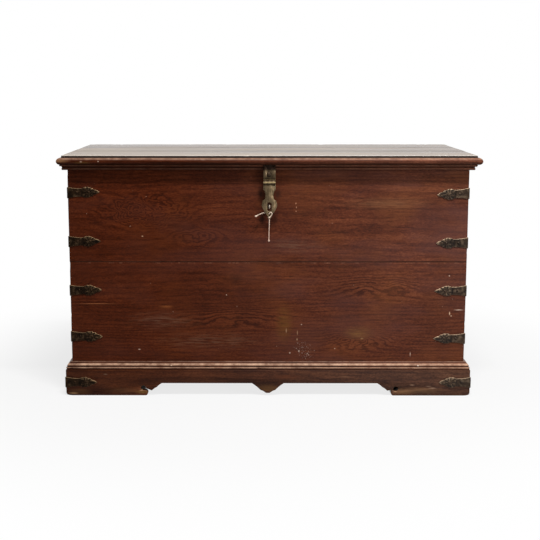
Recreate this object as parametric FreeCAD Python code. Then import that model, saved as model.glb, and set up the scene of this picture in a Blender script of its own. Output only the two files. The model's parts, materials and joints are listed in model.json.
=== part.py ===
import FreeCAD, Part
import math
import os

from FreeCAD import Placement, Rotation, Vector

# Damchiya chest: a plank box on a bracket-foot plinth, with a moulded lid, iron corner straps
# and a hanging hasp. Lengths are in millimetres and angles in degrees.
# +X is to the right, -Y is the front, +Z is up. The origin lies on the floor under the middle
# of the whole chest. "Out" means away from the face of the box that carries the piece.

# General clearances
overrun = 5.0
seat_gap = 0.3
hole_gap = 0.05

# Box
box_width = 1220.0
box_depth = 555.0
rim_height = 719.2
box_lift = 60.0
board_thickness = 25.0
back_thickness = 22.0
seam_height = 419.6
floor_thickness = 18.0
floor_board_count = 3
ledge_height = 25.0
ledge_depth = 25.0

# Lid
lid_thickness = 27.4
lid_overlap = 17.5
lid_offset = 3.0
lid_front_board = 207.5
lid_middle_board = 195.0
nose_width = 13.5
nose_step = 5.7
nose_low_height = 11.5
nose_low_inset = 9.0
nose_upper_shares = (0.68, 0.64)
nose_lower_shares = (0.71, 0.30)
batten_width = 60.0
batten_thickness = 20.0
batten_inset = 230.0
batten_clearance = 20.0
batten_screw_length = 38.0

# Dust moulding under the lid
dust_gap = 0.8
dust_height = 16.5
dust_reach = 20.5
dust_bead_radius = 2.5
dust_low_reach = 14.5
dust_low_bead = 7.5
dust_cove_shares = (0.2, 0.55)

# Plinth
plinth_thickness = 18.0
plinth_height = 82.0
plinth_arris = 1.5
rail_height = 39.3
corner_block_size = 50.0
corner_block_lift = 4.0
back_foot_length = 140.0
back_foot_slope = 20.0

# Plinth feet
left_foot_length = 254.3
right_foot_length = 243.8
side_foot_length = 150.0
scroll_radius = 8.0
scroll_setback = 14.0
left_scroll_height = 24.0
left_toe_height = 16.0
left_toe_low_radius = 8.0
left_toe_high_radius = 7.0
left_mouth_angle = -10.0
right_scroll_height = 21.5
right_toe_height = 16.5
right_toe_low_radius = 6.0
right_toe_high_radius = 2.0
right_mouth_angle = -15.0
side_mouth_angle = -35.0
cusp_gap = 12.5
cusp_height = 15.5
ogee_length = 31.5
ogee_low_shares = (0.24, 0.29)
ogee_middle_shares = (0.48, 0.47)
ogee_high_shares = (0.74, 0.78)

# Drop in the middle of the plinth front
drop_half_width = 49.6
drop_clearance = 7.8
drop_shoulder_shares = (0.74, 0.29)
drop_cusp_shares = (0.46, 0.70)
drop_notch_shares = (0.32, 0.775)
drop_tip_shares = (0.205, 0.89)
drop_flat_shares = (0.115, 0.995)

# Cap moulding on the plinth
cap_height = 23.5
cap_fillet = 3.0
cap_cove = 3.5
cap_round_reach = 14.0
cap_round_drop = 12.5
cap_quirk_depth = 1.2
cap_quirk_height = 2.0
cap_bead_reach = 16.5
cap_bead_height = 6.0
cap_cove_shares = (0.35, 0.5)
cap_round_shares = (0.68, 0.34)

# Corner straps
strap_thickness = 2.5
strap_height = 34.5
strap_neck_height = 25.0
strap_leaf_height = 31.0
strap_neck_at = 44.0
strap_reach = 97.0
strap_short_reach = 90.0
strap_waist_shares = (0.55, 0.82)
leaf_along_shares = (0.0, 0.24, 0.47, 0.68)
leaf_half_shares = (0.81, 1.0, 0.84, 0.50)
leaf_scallop = 1.6
left_row_shares = (0.859, 0.614, 0.366, 0.129)
right_row_shares = (0.856, 0.608, 0.365, 0.119)
left_lift_shares = (0.075, 0.043, 0.038, -0.035)
right_lift_shares = (-0.13, -0.035, -0.04, -0.017)
plinth_strap_share = 0.52
nail_near_at = 27.0
nail_far_at = 64.0
nail_head_radius = 4.0
nail_head_height = 2.0
nail_shank_radius = 1.6
nail_length = 18.0

# Hasp: strap on the lid, hinge leaf behind it, and the slotted plate that hangs from the pin
hasp_x = 3.5
hasp_strap_width = 36.5
hasp_strap_thickness = 2.2
hasp_strap_top_gap = 0.8
hasp_leaf_thickness = 2.0
hasp_leaf_lap = 7.0
hasp_axis_drop = 36.0
hasp_strap_edge_gap = 1.5
hasp_knuckle_radius = 6.0
hasp_pin_radius = 2.4
hasp_rivet_rise = 23.3
hasp_rivet_offset = -2.2
rivet_head_radius = 7.0
rivet_head_height = 3.0
rivet_shank_radius = 2.5
rivet_back_radius = 4.0
rivet_back_height = 1.5
hasp_nail_offset = 11.5
hasp_nail_head_radius = 2.2
hasp_nail_head_height = 1.1
hasp_belly_width = 46.4
hasp_tip_drop = 112.0
hasp_shoulder_shares = (0.806, 0.200)
hasp_curve_shares = (
    ((0.665, 0.235), (0.560, 0.290)),
    ((0.505, 0.365), (0.560, 0.440)),
    ((0.630, 0.468), (0.730, 0.485)),
    ((0.850, 0.503), (0.905, 0.545)),
    ((0.980, 0.590), (1.000, 0.645)),
    ((0.800, 0.745), (0.430, 0.861)),
    ((0.300, 0.910), (0.200, 0.955)),
    ((0.110, 0.990), (0.000, 1.000)),
)
slot_width = 12.6
slot_height = 27.9
slot_drop = 75.0
tie_hole_radius = 2.4
tie_hole_drop = 97.3
tie_hole_offset = -1.0

# Staple eye in the front board
eye_radius = 8.0
eye_hole_radius = 5.5
eye_width = 4.5
eye_gap = 0.45
eye_shank_radius = 2.2
clench_length = 24.0
clench_thickness = 3.0

# Back hinges
hinge_inset = 210.0
hinge_leaf_width = 70.0
hinge_leaf_thickness = 2.5
hinge_barrel_radius = 5.0
hinge_barrel_gap = 0.5
hinge_pin_radius = 2.0
hinge_pin_head_radius = 3.2
hinge_pin_head_length = 1.5
hinge_box_leaf_drop = 95.0
hinge_lid_edge_gap = 2.0
hinge_screw_inset = 12.0
screw_head_radius = 3.8
screw_head_height = 1.6
screw_shank_radius = 1.8
screw_length = 18.0
screw_slot_width = 0.9
screw_slot_depth = 0.8

# Cotton tie cord through the tip of the hasp. Its routes are lists of points chosen by hand.
cord_diameter = 2.8
cord_bend_share = 0.45
knot_radius = 2.4
tip_knot_radius = 2.9
tail_knot_radius = 2.7
tail_knot_length = 7.0
loop_route = [
    (2.5, -282.4, 569.7),
    (2.5, -291.6, 570.4),
    (5.5, -292.2, 577.5),
    (12.6, -291.6, 573.0),
    (9.0, -291.2, 564.8),
    (3.6, -291.0, 559.8),
]
tail_route = [
    (3.5, -291.0, 558.0),
    (2.9, -291.4, 536.0),
    (2.3, -292.9, 512.0),
    (2.0, -295.0, 489.5),
]
end_route = [
    (1.2, -282.6, 570.6),
    (-11.5, -283.0, 575.0),
    (-24.5, -284.9, 569.8),
    (-37.0, -286.8, 563.4),
]

# Places worked out from the sizes
half_width = box_width / 2
nose_reach = lid_overlap + nose_width
hinge_axis_out = hinge_barrel_radius + seat_gap
back_reach = hinge_axis_out + hinge_barrel_radius
front_y = (nose_reach - back_reach - box_depth) / 2
back_y = front_y + box_depth
inner_half_width = half_width - board_thickness
inner_front_y = front_y + board_thickness
inner_back_y = back_y - back_thickness
lid_bottom = rim_height + seat_gap
lid_top = lid_bottom + lid_thickness
dust_bottom = lid_bottom - dust_height
cap_top = plinth_height + cap_height
plinth_half_width = half_width + plinth_thickness
plinth_front_y = front_y - plinth_thickness
ledge_top = box_lift + ledge_height
floor_top = ledge_top + floor_thickness
hasp_strap_out = dust_reach + hole_gap
hasp_leaf_out = hasp_strap_out - hasp_leaf_thickness
hasp_axis_out = hasp_strap_out - hasp_leaf_thickness / 2
hasp_axis_y = front_y - hasp_axis_out
hasp_axis_z = dust_bottom - hasp_axis_drop
eye_out = hasp_leaf_out - eye_gap - eye_radius
eye_z = hasp_axis_z - slot_drop
hinge_axis_y = back_y + hinge_axis_out
hinge_axis_z = rim_height + seat_gap / 2


# Shapes that many pieces share
class Outline:
    """A closed outline of lines and arcs, drawn in two coordinates and placed in space."""

    def __init__(self, to_space, start):
        self.to_space = to_space
        self.start = start
        self.end = start
        self.edges = []

    def line(self, point):
        ends = [self.to_space(*self.end), self.to_space(*point)]
        self.edges.append(Part.LineSegment(*ends).toShape())
        self.end = point
        return self

    def arc(self, middle, point):
        points = [self.to_space(*self.end), self.to_space(*middle), self.to_space(*point)]
        self.edges.append(Part.Arc(*points).toShape())
        self.end = point
        return self

    def face(self):
        if self.end != self.start:
            self.line(self.start)
        return Part.Face(Part.Wire(self.edges))


def block(x_low, x_high, y_low, y_high, z_low, z_high):
    corner = Vector(x_low, y_low, z_low)
    return Part.makeBox(x_high - x_low, y_high - y_low, z_high - z_low, corner)


def mirrored(shape):
    return shape.mirror(Vector(0, 0, 0), Vector(1, 0, 0))


def cylinder_along(radius, start, end):
    start = Vector(*start)
    reach = Vector(*end) - start
    return Part.makeCylinder(radius, reach.Length, start, reach)


def between(low, high, share):
    return low + (high - low) * share


def mitre_front(reach):
    """Plan region of the front lengths of a moulding, cut at 45 degrees at both corners."""
    outer = half_width + reach
    region = Outline(lambda x, y: Vector(x, y, -overrun), (-half_width, front_y))
    region.line((-outer, front_y - reach)).line((outer, front_y - reach)).line((half_width, front_y))
    return region.face().extrude(Vector(0, 0, lid_top + 2 * overrun))


def mitre_left(reach):
    """Plan region of the left lengths of a moulding, cut at 45 degrees at the front corner."""
    outer = -half_width - reach
    region = Outline(lambda x, y: Vector(x, y, -overrun), (-half_width, front_y))
    region.line((outer, front_y - reach)).line((outer, back_y)).line((-half_width, back_y))
    return region.face().extrude(Vector(0, 0, lid_top + 2 * overrun))


def moulding_set(profile, reach):
    """Front, left and right lengths of one moulding. profile draws it in (out, height)."""
    run = half_width + reach
    front = profile(lambda out, z: Vector(-run, front_y - out, z)).extrude(Vector(2 * run, 0, 0))
    left = profile(lambda out, z: Vector(-half_width - out, front_y - reach, z))
    left = left.extrude(Vector(0, box_depth + reach, 0))
    front = front.common(mitre_front(reach))
    left = left.common(mitre_left(reach))
    return front, left, mirrored(left)


def section(radius, height):
    return Vector(radius, 0, height)


def turned(outline, centre, direction):
    """A solid of revolution about the height axis of the outline, turned to face a direction."""
    solid = outline.face().revolve(Vector(0, 0, 0), Vector(0, 0, 1), 360)
    if solid.Volume < 0:
        solid.reverse()
    solid.Placement = Placement(Vector(*centre), Rotation(Vector(0, 0, 1), Vector(*direction)))
    return solid


def dome(outline, radius, height):
    """Close an outline at its rim with a round cap up to the axis."""
    ball_radius = (radius ** 2 + height ** 2) / (2 * height)
    half_angle = math.asin(radius / ball_radius) / 2
    drop = ball_radius * (1 - math.cos(half_angle))
    outline.arc((ball_radius * math.sin(half_angle), height - drop), (0, height))


def dome_fastener(head_radius, head_height, shank_radius, length, seat, outward):
    """A domed head that sits at the point seat, with its shank driven the other way."""
    outline = Outline(section, (0, -length))
    outline.line((shank_radius, -length)).line((shank_radius, 0)).line((head_radius, 0))
    dome(outline, head_radius, head_height)
    return turned(outline, seat, outward)


def dome_nail(seat, outward):
    return dome_fastener(
        nail_head_radius, nail_head_height, nail_shank_radius, nail_length, seat, outward
    )


def screw(seat, outward, length):
    solid = dome_fastener(
        screw_head_radius, screw_head_height, screw_shank_radius, length, seat, outward
    )
    slot = block(
        -screw_head_radius, screw_head_radius,
        -screw_slot_width / 2, screw_slot_width / 2,
        screw_head_height - screw_slot_depth, screw_head_height + overrun,
    )
    slot.Placement = Placement(Vector(*seat), Rotation(Vector(0, 0, 1), Vector(*outward)))
    return solid.cut(slot)


def bead(radius, half_length, centre, direction):
    """A rounded bead, longer than it is thick, as a knot in a cord is."""
    outline = Outline(section, (0, -half_length))
    outline.arc((radius, 0), (0, half_length))
    return turned(outline, centre, direction)


# Box
def box_boards():
    boards = {}
    heights = {"lower": (box_lift, seam_height), "upper": (seam_height, rim_height)}
    for level, (low, high) in heights.items():
        boards["front_board_" + level] = block(
            -half_width, half_width, front_y, inner_front_y, low, high
        )
        boards["back_board_" + level] = block(
            -half_width, half_width, inner_back_y, back_y, low, high
        )
        left = block(-half_width, -inner_half_width, inner_front_y, inner_back_y, low, high)
        boards["left_board_" + level] = left
        boards["right_board_" + level] = mirrored(left)
    return boards


def floor_boards():
    boards = {}
    width = (inner_back_y - inner_front_y) / floor_board_count
    for number in range(floor_board_count):
        y_low = inner_front_y + number * width
        boards["floor_board_%d" % (number + 1)] = block(
            -inner_half_width, inner_half_width, y_low, y_low + width, ledge_top, floor_top
        )
    return boards


def floor_ledges():
    front = block(
        -inner_half_width, inner_half_width, inner_front_y, inner_front_y + ledge_depth,
        box_lift, ledge_top,
    )
    back = block(
        -inner_half_width, inner_half_width, inner_back_y - ledge_depth, inner_back_y,
        box_lift, ledge_top,
    )
    return {"floor_ledge_front": front, "floor_ledge_back": back}


# Plinth
def foot_gap(to_space, corner, way, foot, middle, with_drop):
    """Half of the opening under a plinth board, from the toe of a foot to the board's middle."""
    foot_length, scroll_z, toe_height, low_radius, high_radius, mouth_angle = foot
    mid_share = 1 - math.sqrt(0.5)

    def along(distance):
        return corner + way * distance

    scroll_at = foot_length - scroll_setback

    def on_scroll(angle):
        return (
            along(scroll_at + scroll_radius * math.cos(angle)),
            scroll_z + scroll_radius * math.sin(angle),
        )

    toe_angle = -math.asin(min(1, (scroll_z - toe_height) / scroll_radius))
    mouth = math.radians(mouth_angle)
    cusp_at = foot_length + cusp_gap
    rail_at = cusp_at + ogee_length

    def on_ogee(shares):
        at = between(cusp_at, rail_at, shares[0])
        return (along(at), between(cusp_height, rail_height, shares[1]))

    gap = Outline(to_space, (along(foot_length - low_radius), -overrun))
    gap.line((along(foot_length - low_radius), 0))
    gap.arc(
        (along(foot_length - mid_share * low_radius), mid_share * low_radius),
        (along(foot_length), low_radius),
    )
    gap.line((along(foot_length), toe_height - high_radius))
    gap.arc(
        (along(foot_length - mid_share * high_radius), toe_height - mid_share * high_radius),
        (along(foot_length - high_radius), toe_height),
    )
    gap.line(on_scroll(toe_angle))
    gap.arc(on_scroll((toe_angle + mouth) / 2 + math.pi), on_scroll(mouth))
    gap.line((along(cusp_at), cusp_height))
    gap.arc(on_ogee(ogee_low_shares), on_ogee(ogee_middle_shares))
    gap.arc(on_ogee(ogee_high_shares), (along(rail_at), rail_height))
    if with_drop:
        def on_drop(shares):
            at = middle - way * drop_half_width * shares[0]
            return (at, between(rail_height, drop_clearance, shares[1]))

        gap.line((middle - way * drop_half_width, rail_height))
        gap.arc(on_drop(drop_shoulder_shares), on_drop(drop_cusp_shares))
        gap.line(on_drop(drop_notch_shares))
        gap.arc(on_drop(drop_tip_shares), on_drop(drop_flat_shares))
        gap.line((middle, drop_clearance))
    else:
        gap.line((middle, rail_height))
    gap.line((middle, -overrun))
    return gap.face()


def plinth_profile(to_space):
    board = Outline(to_space, (0, 0))
    board.line((0, plinth_height)).line((plinth_thickness - plinth_arris, plinth_height))
    round_share = math.sqrt(0.5)
    board.arc(
        (
            plinth_thickness - plinth_arris * (1 - round_share),
            plinth_height - plinth_arris * (1 - round_share),
        ),
        (plinth_thickness, plinth_height - plinth_arris),
    )
    board.line((plinth_thickness, 0))
    return board.face()


def plinth_boards():
    front, left, right = moulding_set(plinth_profile, plinth_thickness)
    deep = plinth_thickness + 2 * overrun

    left_foot = (
        left_foot_length, left_scroll_height, left_toe_height, left_toe_low_radius,
        left_toe_high_radius, left_mouth_angle,
    )
    right_foot = (
        right_foot_length, right_scroll_height, right_toe_height, right_toe_low_radius,
        right_toe_high_radius, right_mouth_angle,
    )
    side_foot = (
        side_foot_length, left_scroll_height, left_toe_height, left_toe_low_radius,
        left_toe_high_radius, side_mouth_angle,
    )
    for corner, way, foot in (
        (-plinth_half_width, 1, left_foot), (plinth_half_width, -1, right_foot),
    ):
        gap = foot_gap(
            lambda x, z: Vector(x, plinth_front_y - overrun, z), corner, way, foot, 0, True
        )
        front = front.cut(gap.extrude(Vector(0, deep, 0)))

    side_middle = (plinth_front_y + back_y) / 2
    for corner, way in ((plinth_front_y, 1), (back_y, -1)):
        gap = foot_gap(
            lambda y, z: Vector(-plinth_half_width - overrun, y, z), corner, way, side_foot,
            side_middle, False,
        )
        gap = gap.extrude(Vector(deep, 0, 0))
        left = left.cut(gap)
    right = mirrored(left)

    back = block(-half_width, half_width, inner_back_y, back_y, 0, box_lift)
    foot_end = half_width - back_foot_length
    arch = Outline(lambda x, z: Vector(x, inner_back_y - overrun, z), (-foot_end, -overrun))
    arch.line((-foot_end, 0)).line((back_foot_slope - foot_end, rail_height))
    arch.line((foot_end - back_foot_slope, rail_height)).line((foot_end, 0))
    arch.line((foot_end, -overrun))
    back = back.cut(arch.face().extrude(Vector(0, back_thickness + 2 * overrun, 0)))
    return {"plinth_front": front, "plinth_left": left, "plinth_right": right, "plinth_back": back}


def corner_blocks():
    size = corner_block_size
    front = block(
        -half_width, size - half_width, front_y, front_y + size, corner_block_lift, box_lift
    )
    back = block(
        -half_width, size - half_width, inner_back_y - size, inner_back_y, corner_block_lift, box_lift
    )
    return Part.makeCompound([front, mirrored(front), back, mirrored(back)])


def cap_profile(to_space):
    cove_end = cap_fillet + cap_cove
    cove_z = cap_top - cap_cove
    round_z = cap_top - cap_round_drop
    quirk_z = round_z - cap_quirk_height
    bead_z = quirk_z - cap_bead_height
    cap = Outline(to_space, (0, cap_top))
    cap.line((cap_fillet, cap_top))
    cap.arc(
        (
            between(cap_fillet, cove_end, cap_cove_shares[0]),
            between(cap_top, cove_z, cap_cove_shares[1]),
        ),
        (cove_end, cove_z),
    )
    cap.arc(
        (
            between(cove_end, cap_round_reach, cap_round_shares[0]),
            between(cove_z, round_z, cap_round_shares[1]),
        ),
        (cap_round_reach, round_z),
    )
    cap.line((cap_round_reach - cap_quirk_depth, round_z))
    cap.line((cap_round_reach - cap_quirk_depth, quirk_z))
    cap.line((cap_round_reach, quirk_z))
    cap.arc((cap_bead_reach, (quirk_z + bead_z) / 2), (cap_round_reach, bead_z))
    cap.line((cap_round_reach, plinth_height))
    cap.line((0, plinth_height))
    return cap.face()


# Lid
def lid_boards():
    front = front_y - lid_overlap
    first_seam = front + lid_front_board
    second_seam = first_seam + lid_middle_board
    reach = half_width + lid_overlap
    edges = {
        "lid_board_front": (front, first_seam),
        "lid_board_middle": (first_seam, second_seam),
        "lid_board_back": (second_seam, back_y),
    }
    return {
        name: block(-reach, reach, low, high, lid_bottom, lid_top)
        for name, (low, high) in edges.items()
    }


def nose_profile(to_space):
    upper_z = lid_top - nose_step
    middle_z = lid_bottom + nose_low_height
    low_out = nose_reach - nose_low_inset
    nose = Outline(to_space, (lid_overlap, lid_bottom))
    nose.line((lid_overlap, upper_z))
    nose.arc(
        (
            between(lid_overlap, nose_reach, nose_upper_shares[0]),
            between(middle_z, upper_z, nose_upper_shares[1]),
        ),
        (nose_reach, middle_z),
    )
    nose.arc(
        (
            between(low_out, nose_reach, nose_lower_shares[0]),
            between(lid_bottom, middle_z, nose_lower_shares[1]),
        ),
        (low_out, lid_bottom),
    )
    return nose.face()


def dust_profile(to_space):
    bead_out = dust_reach - dust_bead_radius
    bead_z = lid_bottom - 2 * dust_bead_radius
    low_z = dust_bottom + dust_low_bead
    low_out = dust_low_reach - dust_bead_radius / 2
    dust = Outline(to_space, (dust_gap, lid_bottom))
    dust.line((bead_out, lid_bottom))
    dust.arc((dust_reach, lid_bottom - dust_bead_radius), (bead_out, bead_z))
    dust.arc(
        (
            between(low_out, bead_out, dust_cove_shares[0]),
            between(low_z, bead_z, dust_cove_shares[1]),
        ),
        (low_out, low_z),
    )
    dust.arc((dust_low_reach, (low_z + dust_bottom) / 2), (low_out, dust_bottom))
    dust.line((dust_gap, dust_bottom))
    return dust.face()


def lid_battens():
    centre = half_width - batten_inset
    left = block(
        -centre - batten_width / 2, batten_width / 2 - centre,
        inner_front_y + batten_clearance, inner_back_y - batten_clearance,
        lid_bottom - batten_thickness, lid_bottom,
    )
    return {"lid_batten_left": left, "lid_batten_right": mirrored(left)}


def batten_screws():
    front = front_y - lid_overlap
    first_seam = front + lid_front_board
    second_seam = first_seam + lid_middle_board
    rows = ((front + first_seam) / 2, (first_seam + second_seam) / 2, (second_seam + back_y) / 2)
    seat_z = lid_bottom - batten_thickness
    centre = half_width - batten_inset
    screws = []
    for y in rows:
        left = screw((-centre, y, seat_z), (0, 0, -1), batten_screw_length)
        screws += [left, mirrored(left)]
    return screws


# Corner straps, drawn for a corner at the origin: one leg runs along +X on the front face and
# the other along +Y on the side face, and the metal lies outside both faces.
def leaf_leg(to_space, reach, lift):
    def centre(along):
        return lift * along / reach

    half_leaf = strap_leaf_height / 2
    neck = strap_neck_height / 2
    corner = -strap_thickness
    leaf_length = reach - strap_neck_at
    waist_at = strap_neck_at * strap_waist_shares[0]
    waist = between(strap_height / 2, neck, strap_waist_shares[1])
    along = [strap_neck_at + leaf_length * share for share in leaf_along_shares] + [reach]
    half = [half_leaf * share for share in leaf_half_shares] + [0]

    leg = Outline(to_space, (corner, centre(corner) - strap_height / 2))
    leg.line((corner, centre(corner) + strap_height / 2))
    for side, order in ((1, range(len(along))), (-1, reversed(range(len(along) - 1)))):
        if side > 0:
            leg.arc((waist_at, centre(waist_at) + waist), (along[0], centre(along[0]) + half[0]))
        for index in order:
            here = (along[index], centre(along[index]) + side * half[index])
            if leg.end == here:
                continue
            middle_at = (leg.end[0] + here[0]) / 2
            middle = (leg.end[1] + here[1]) / 2 + side * leaf_scallop
            leg.arc((middle_at, middle), here)
    leg.arc((waist_at, centre(waist_at) - waist), leg.start)
    return leg.face()


def strap_nail_places(reach, lift):
    return [(at, lift * at / reach) for at in (nail_near_at, nail_far_at)]


def corner_strap(lift):
    front = leaf_leg(lambda s, z: Vector(s, -strap_thickness, z), strap_reach, lift)
    side = leaf_leg(lambda s, z: Vector(-strap_thickness, s, z), strap_short_reach, 0)
    strap = front.extrude(Vector(0, strap_thickness, 0))
    strap = strap.fuse(side.extrude(Vector(strap_thickness, 0, 0))).removeSplitter()
    hole_radius = nail_shank_radius + hole_gap
    for at, z in strap_nail_places(strap_reach, lift):
        strap = strap.cut(cylinder_along(hole_radius, (at, -overrun, z), (at, overrun, z)))
    for at, z in strap_nail_places(strap_short_reach, 0):
        strap = strap.cut(cylinder_along(hole_radius, (-overrun, at, z), (overrun, at, z)))
    return strap


def corner_nails(lift):
    nails = [
        dome_nail((at, -strap_thickness, z), (0, -1, 0))
        for at, z in strap_nail_places(strap_reach, lift)
    ]
    nails += [
        dome_nail((-strap_thickness, at, z), (-1, 0, 0))
        for at, z in strap_nail_places(strap_short_reach, 0)
    ]
    return nails


def at_corner(shape, side, end, half, y, z):
    """Move a shape drawn for the corner at the origin to one corner of the chest."""
    placed = shape.copy()
    if end == "back":
        placed = placed.mirror(Vector(0, 0, 0), Vector(0, 1, 0))
    placed.translate(Vector(-half, y, z))
    return mirrored(placed) if side == "right" else placed


def corner_iron():
    nodes = {}
    nails = []
    shown = rim_height - cap_top
    rows = {"left": left_row_shares, "right": right_row_shares}
    lifts = {"left": left_lift_shares, "right": right_lift_shares}
    faces = {"front": front_y, "back": back_y}
    for end, y in faces.items():
        for side in ("left", "right"):
            straps = []
            for row, lift_share in zip(rows[side], lifts[side]):
                lift = strap_height * lift_share
                z = cap_top + shown * row
                straps.append(at_corner(corner_strap(lift), side, end, half_width, y, z))
                nails += [at_corner(nail, side, end, half_width, y, z) for nail in corner_nails(lift)]
            nodes["%s_%s_corner_straps" % (end, side)] = Part.makeCompound(straps)
    plinth_straps = []
    z = plinth_height * plinth_strap_share
    for end, y in (("front", plinth_front_y), ("back", back_y)):
        for side in ("left", "right"):
            plinth_straps.append(at_corner(corner_strap(0), side, end, plinth_half_width, y, z))
            nails += [at_corner(nail, side, end, plinth_half_width, y, z) for nail in corner_nails(0)]
    nodes["plinth_corner_straps"] = Part.makeCompound(plinth_straps)
    nodes["corner_strap_nails"] = Part.makeCompound(nails)
    return nodes


# Hasp
def hasp_plane(y):
    return lambda x, z: Vector(hasp_x + x, y, hasp_axis_z + z)


def knuckle(x_low, x_high, radius, axis_y, axis_z):
    return cylinder_along(radius, (x_low, axis_y, axis_z), (x_high, axis_y, axis_z))


def hasp_knuckle_edges():
    """X limits of the three knuckles of the hasp hinge, with a gap between neighbours."""
    low = hasp_x - hasp_strap_width / 2
    width = (hasp_strap_width - 2 * seat_gap) / 3
    return [(low + n * (width + seat_gap), low + n * (width + seat_gap) + width) for n in range(3)]


def hasp_lid_strap():
    low_z = hasp_axis_z + hasp_knuckle_radius + hasp_strap_edge_gap
    strap = block(
        hasp_x - hasp_strap_width / 2, hasp_x + hasp_strap_width / 2,
        front_y - hasp_strap_out - hasp_strap_thickness, front_y - hasp_strap_out,
        low_z, lid_bottom - hasp_strap_top_gap,
    )
    hole_end = front_y - hasp_strap_out - hasp_strap_thickness - overrun
    for x, z in hasp_nail_places():
        hole = cylinder_along(nail_shank_radius + hole_gap, (x, front_y, z), (x, hole_end, z))
        strap = strap.cut(hole)
    return strap.cut(rivet_hole())


def rivet_hole():
    x = hasp_x + hasp_rivet_offset
    z = hasp_axis_z + hasp_rivet_rise
    y = front_y - hasp_strap_out
    return cylinder_along(rivet_shank_radius + hole_gap, (x, y - overrun, z), (x, y + overrun, z))


def hasp_nail_places():
    z = lid_bottom - dust_bead_radius
    return [(hasp_x - hasp_nail_offset, z), (hasp_x + hasp_nail_offset, z)]


def hasp_nails():
    seat_y = front_y - hasp_strap_out - hasp_strap_thickness
    return Part.makeCompound([
        dome_fastener(
            hasp_nail_head_radius, hasp_nail_head_height, nail_shank_radius, nail_length,
            (x, seat_y, z), (0, -1, 0),
        )
        for x, z in hasp_nail_places()
    ])


def hasp_hinge_leaf():
    low = hasp_x - hasp_strap_width / 2
    high = hasp_x + hasp_strap_width / 2
    back = front_y - hasp_leaf_out
    leaf = block(
        low, high, back - hasp_leaf_thickness, back, hasp_axis_z, dust_bottom + hasp_leaf_lap
    )
    first, middle, last = hasp_knuckle_edges()
    relief = knuckle(
        middle[0] - seat_gap, middle[1] + seat_gap, hasp_knuckle_radius + seat_gap,
        hasp_axis_y, hasp_axis_z,
    )
    leaf = leaf.cut(relief)
    for edges in (first, last):
        leaf = leaf.fuse(knuckle(*edges, hasp_knuckle_radius, hasp_axis_y, hasp_axis_z))
    bore = knuckle(
        low - overrun, high + overrun, hasp_pin_radius + hole_gap, hasp_axis_y, hasp_axis_z
    )
    return leaf.cut(bore).cut(rivet_hole())


def hasp_rivet():
    x = hasp_x + hasp_rivet_offset
    z = hasp_axis_z + hasp_rivet_rise
    seat_y = front_y - hasp_strap_out - hasp_strap_thickness
    grip = hasp_strap_thickness + hasp_leaf_thickness
    outline = Outline(section, (0, -grip - rivet_back_height))
    outline.line((rivet_back_radius, -grip - rivet_back_height)).line((rivet_back_radius, -grip))
    outline.line((rivet_shank_radius, -grip)).line((rivet_shank_radius, 0))
    outline.line((rivet_head_radius, 0))
    dome(outline, rivet_head_radius, rivet_head_height)
    return turned(outline, (x, seat_y, z), (0, -1, 0))


def hasp_pin():
    low = hasp_x - hasp_strap_width / 2 - hole_gap
    high = hasp_x + hasp_strap_width / 2 + hole_gap
    return knuckle(low, high, hasp_pin_radius, hasp_axis_y, hasp_axis_z)


def hasp_plate():
    half_belly = hasp_belly_width / 2
    top = -hasp_knuckle_radius - seat_gap
    shoulder_half = half_belly * hasp_shoulder_shares[0]
    shoulder_z = -hasp_tip_drop * hasp_shoulder_shares[1]

    def on_plate(side, shares):
        return (side * half_belly * shares[0], -hasp_tip_drop * shares[1])

    back = front_y - hasp_leaf_out
    plate = Outline(hasp_plane(back - hasp_leaf_thickness), (-shoulder_half, top))
    plate.line((shoulder_half, top)).line((shoulder_half, shoulder_z))
    for middle, end in hasp_curve_shares:
        plate.arc(on_plate(1, middle), on_plate(1, end))
    ends = [hasp_shoulder_shares] + [end for middle, end in hasp_curve_shares]
    middles = [middle for middle, end in hasp_curve_shares]
    for index in reversed(range(len(middles))):
        plate.arc(on_plate(-1, middles[index]), on_plate(-1, ends[index]))
    solid = plate.face().extrude(Vector(0, hasp_leaf_thickness, 0))

    low, high = hasp_knuckle_edges()[1]
    tongue = block(low, high, back - hasp_leaf_thickness, back, hasp_axis_z + top, hasp_axis_z)
    solid = solid.fuse(tongue)
    solid = solid.fuse(knuckle(low, high, hasp_knuckle_radius, hasp_axis_y, hasp_axis_z))
    bore = knuckle(
        low - overrun, high + overrun, hasp_pin_radius + hole_gap, hasp_axis_y, hasp_axis_z
    )
    solid = solid.removeSplitter().cut(bore).cut(hasp_slot())
    tie_x = hasp_x + tie_hole_offset
    tie_z = hasp_axis_z - tie_hole_drop
    hole_start = (tie_x, back - 2 * overrun, tie_z)
    return solid.cut(cylinder_along(tie_hole_radius, hole_start, (tie_x, back + overrun, tie_z)))


def hasp_slot():
    radius = slot_width / 2
    straight = slot_height / 2 - radius
    middle = -slot_drop
    slot = Outline(hasp_plane(front_y - hasp_leaf_out + overrun), (-radius, middle - straight))
    slot.line((-radius, middle + straight))
    slot.arc((0, middle + straight + radius), (radius, middle + straight))
    slot.line((radius, middle - straight))
    slot.arc((0, middle - straight - radius), (-radius, middle - straight))
    return slot.face().extrude(Vector(0, -hasp_leaf_thickness - 2 * overrun, 0))


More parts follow.
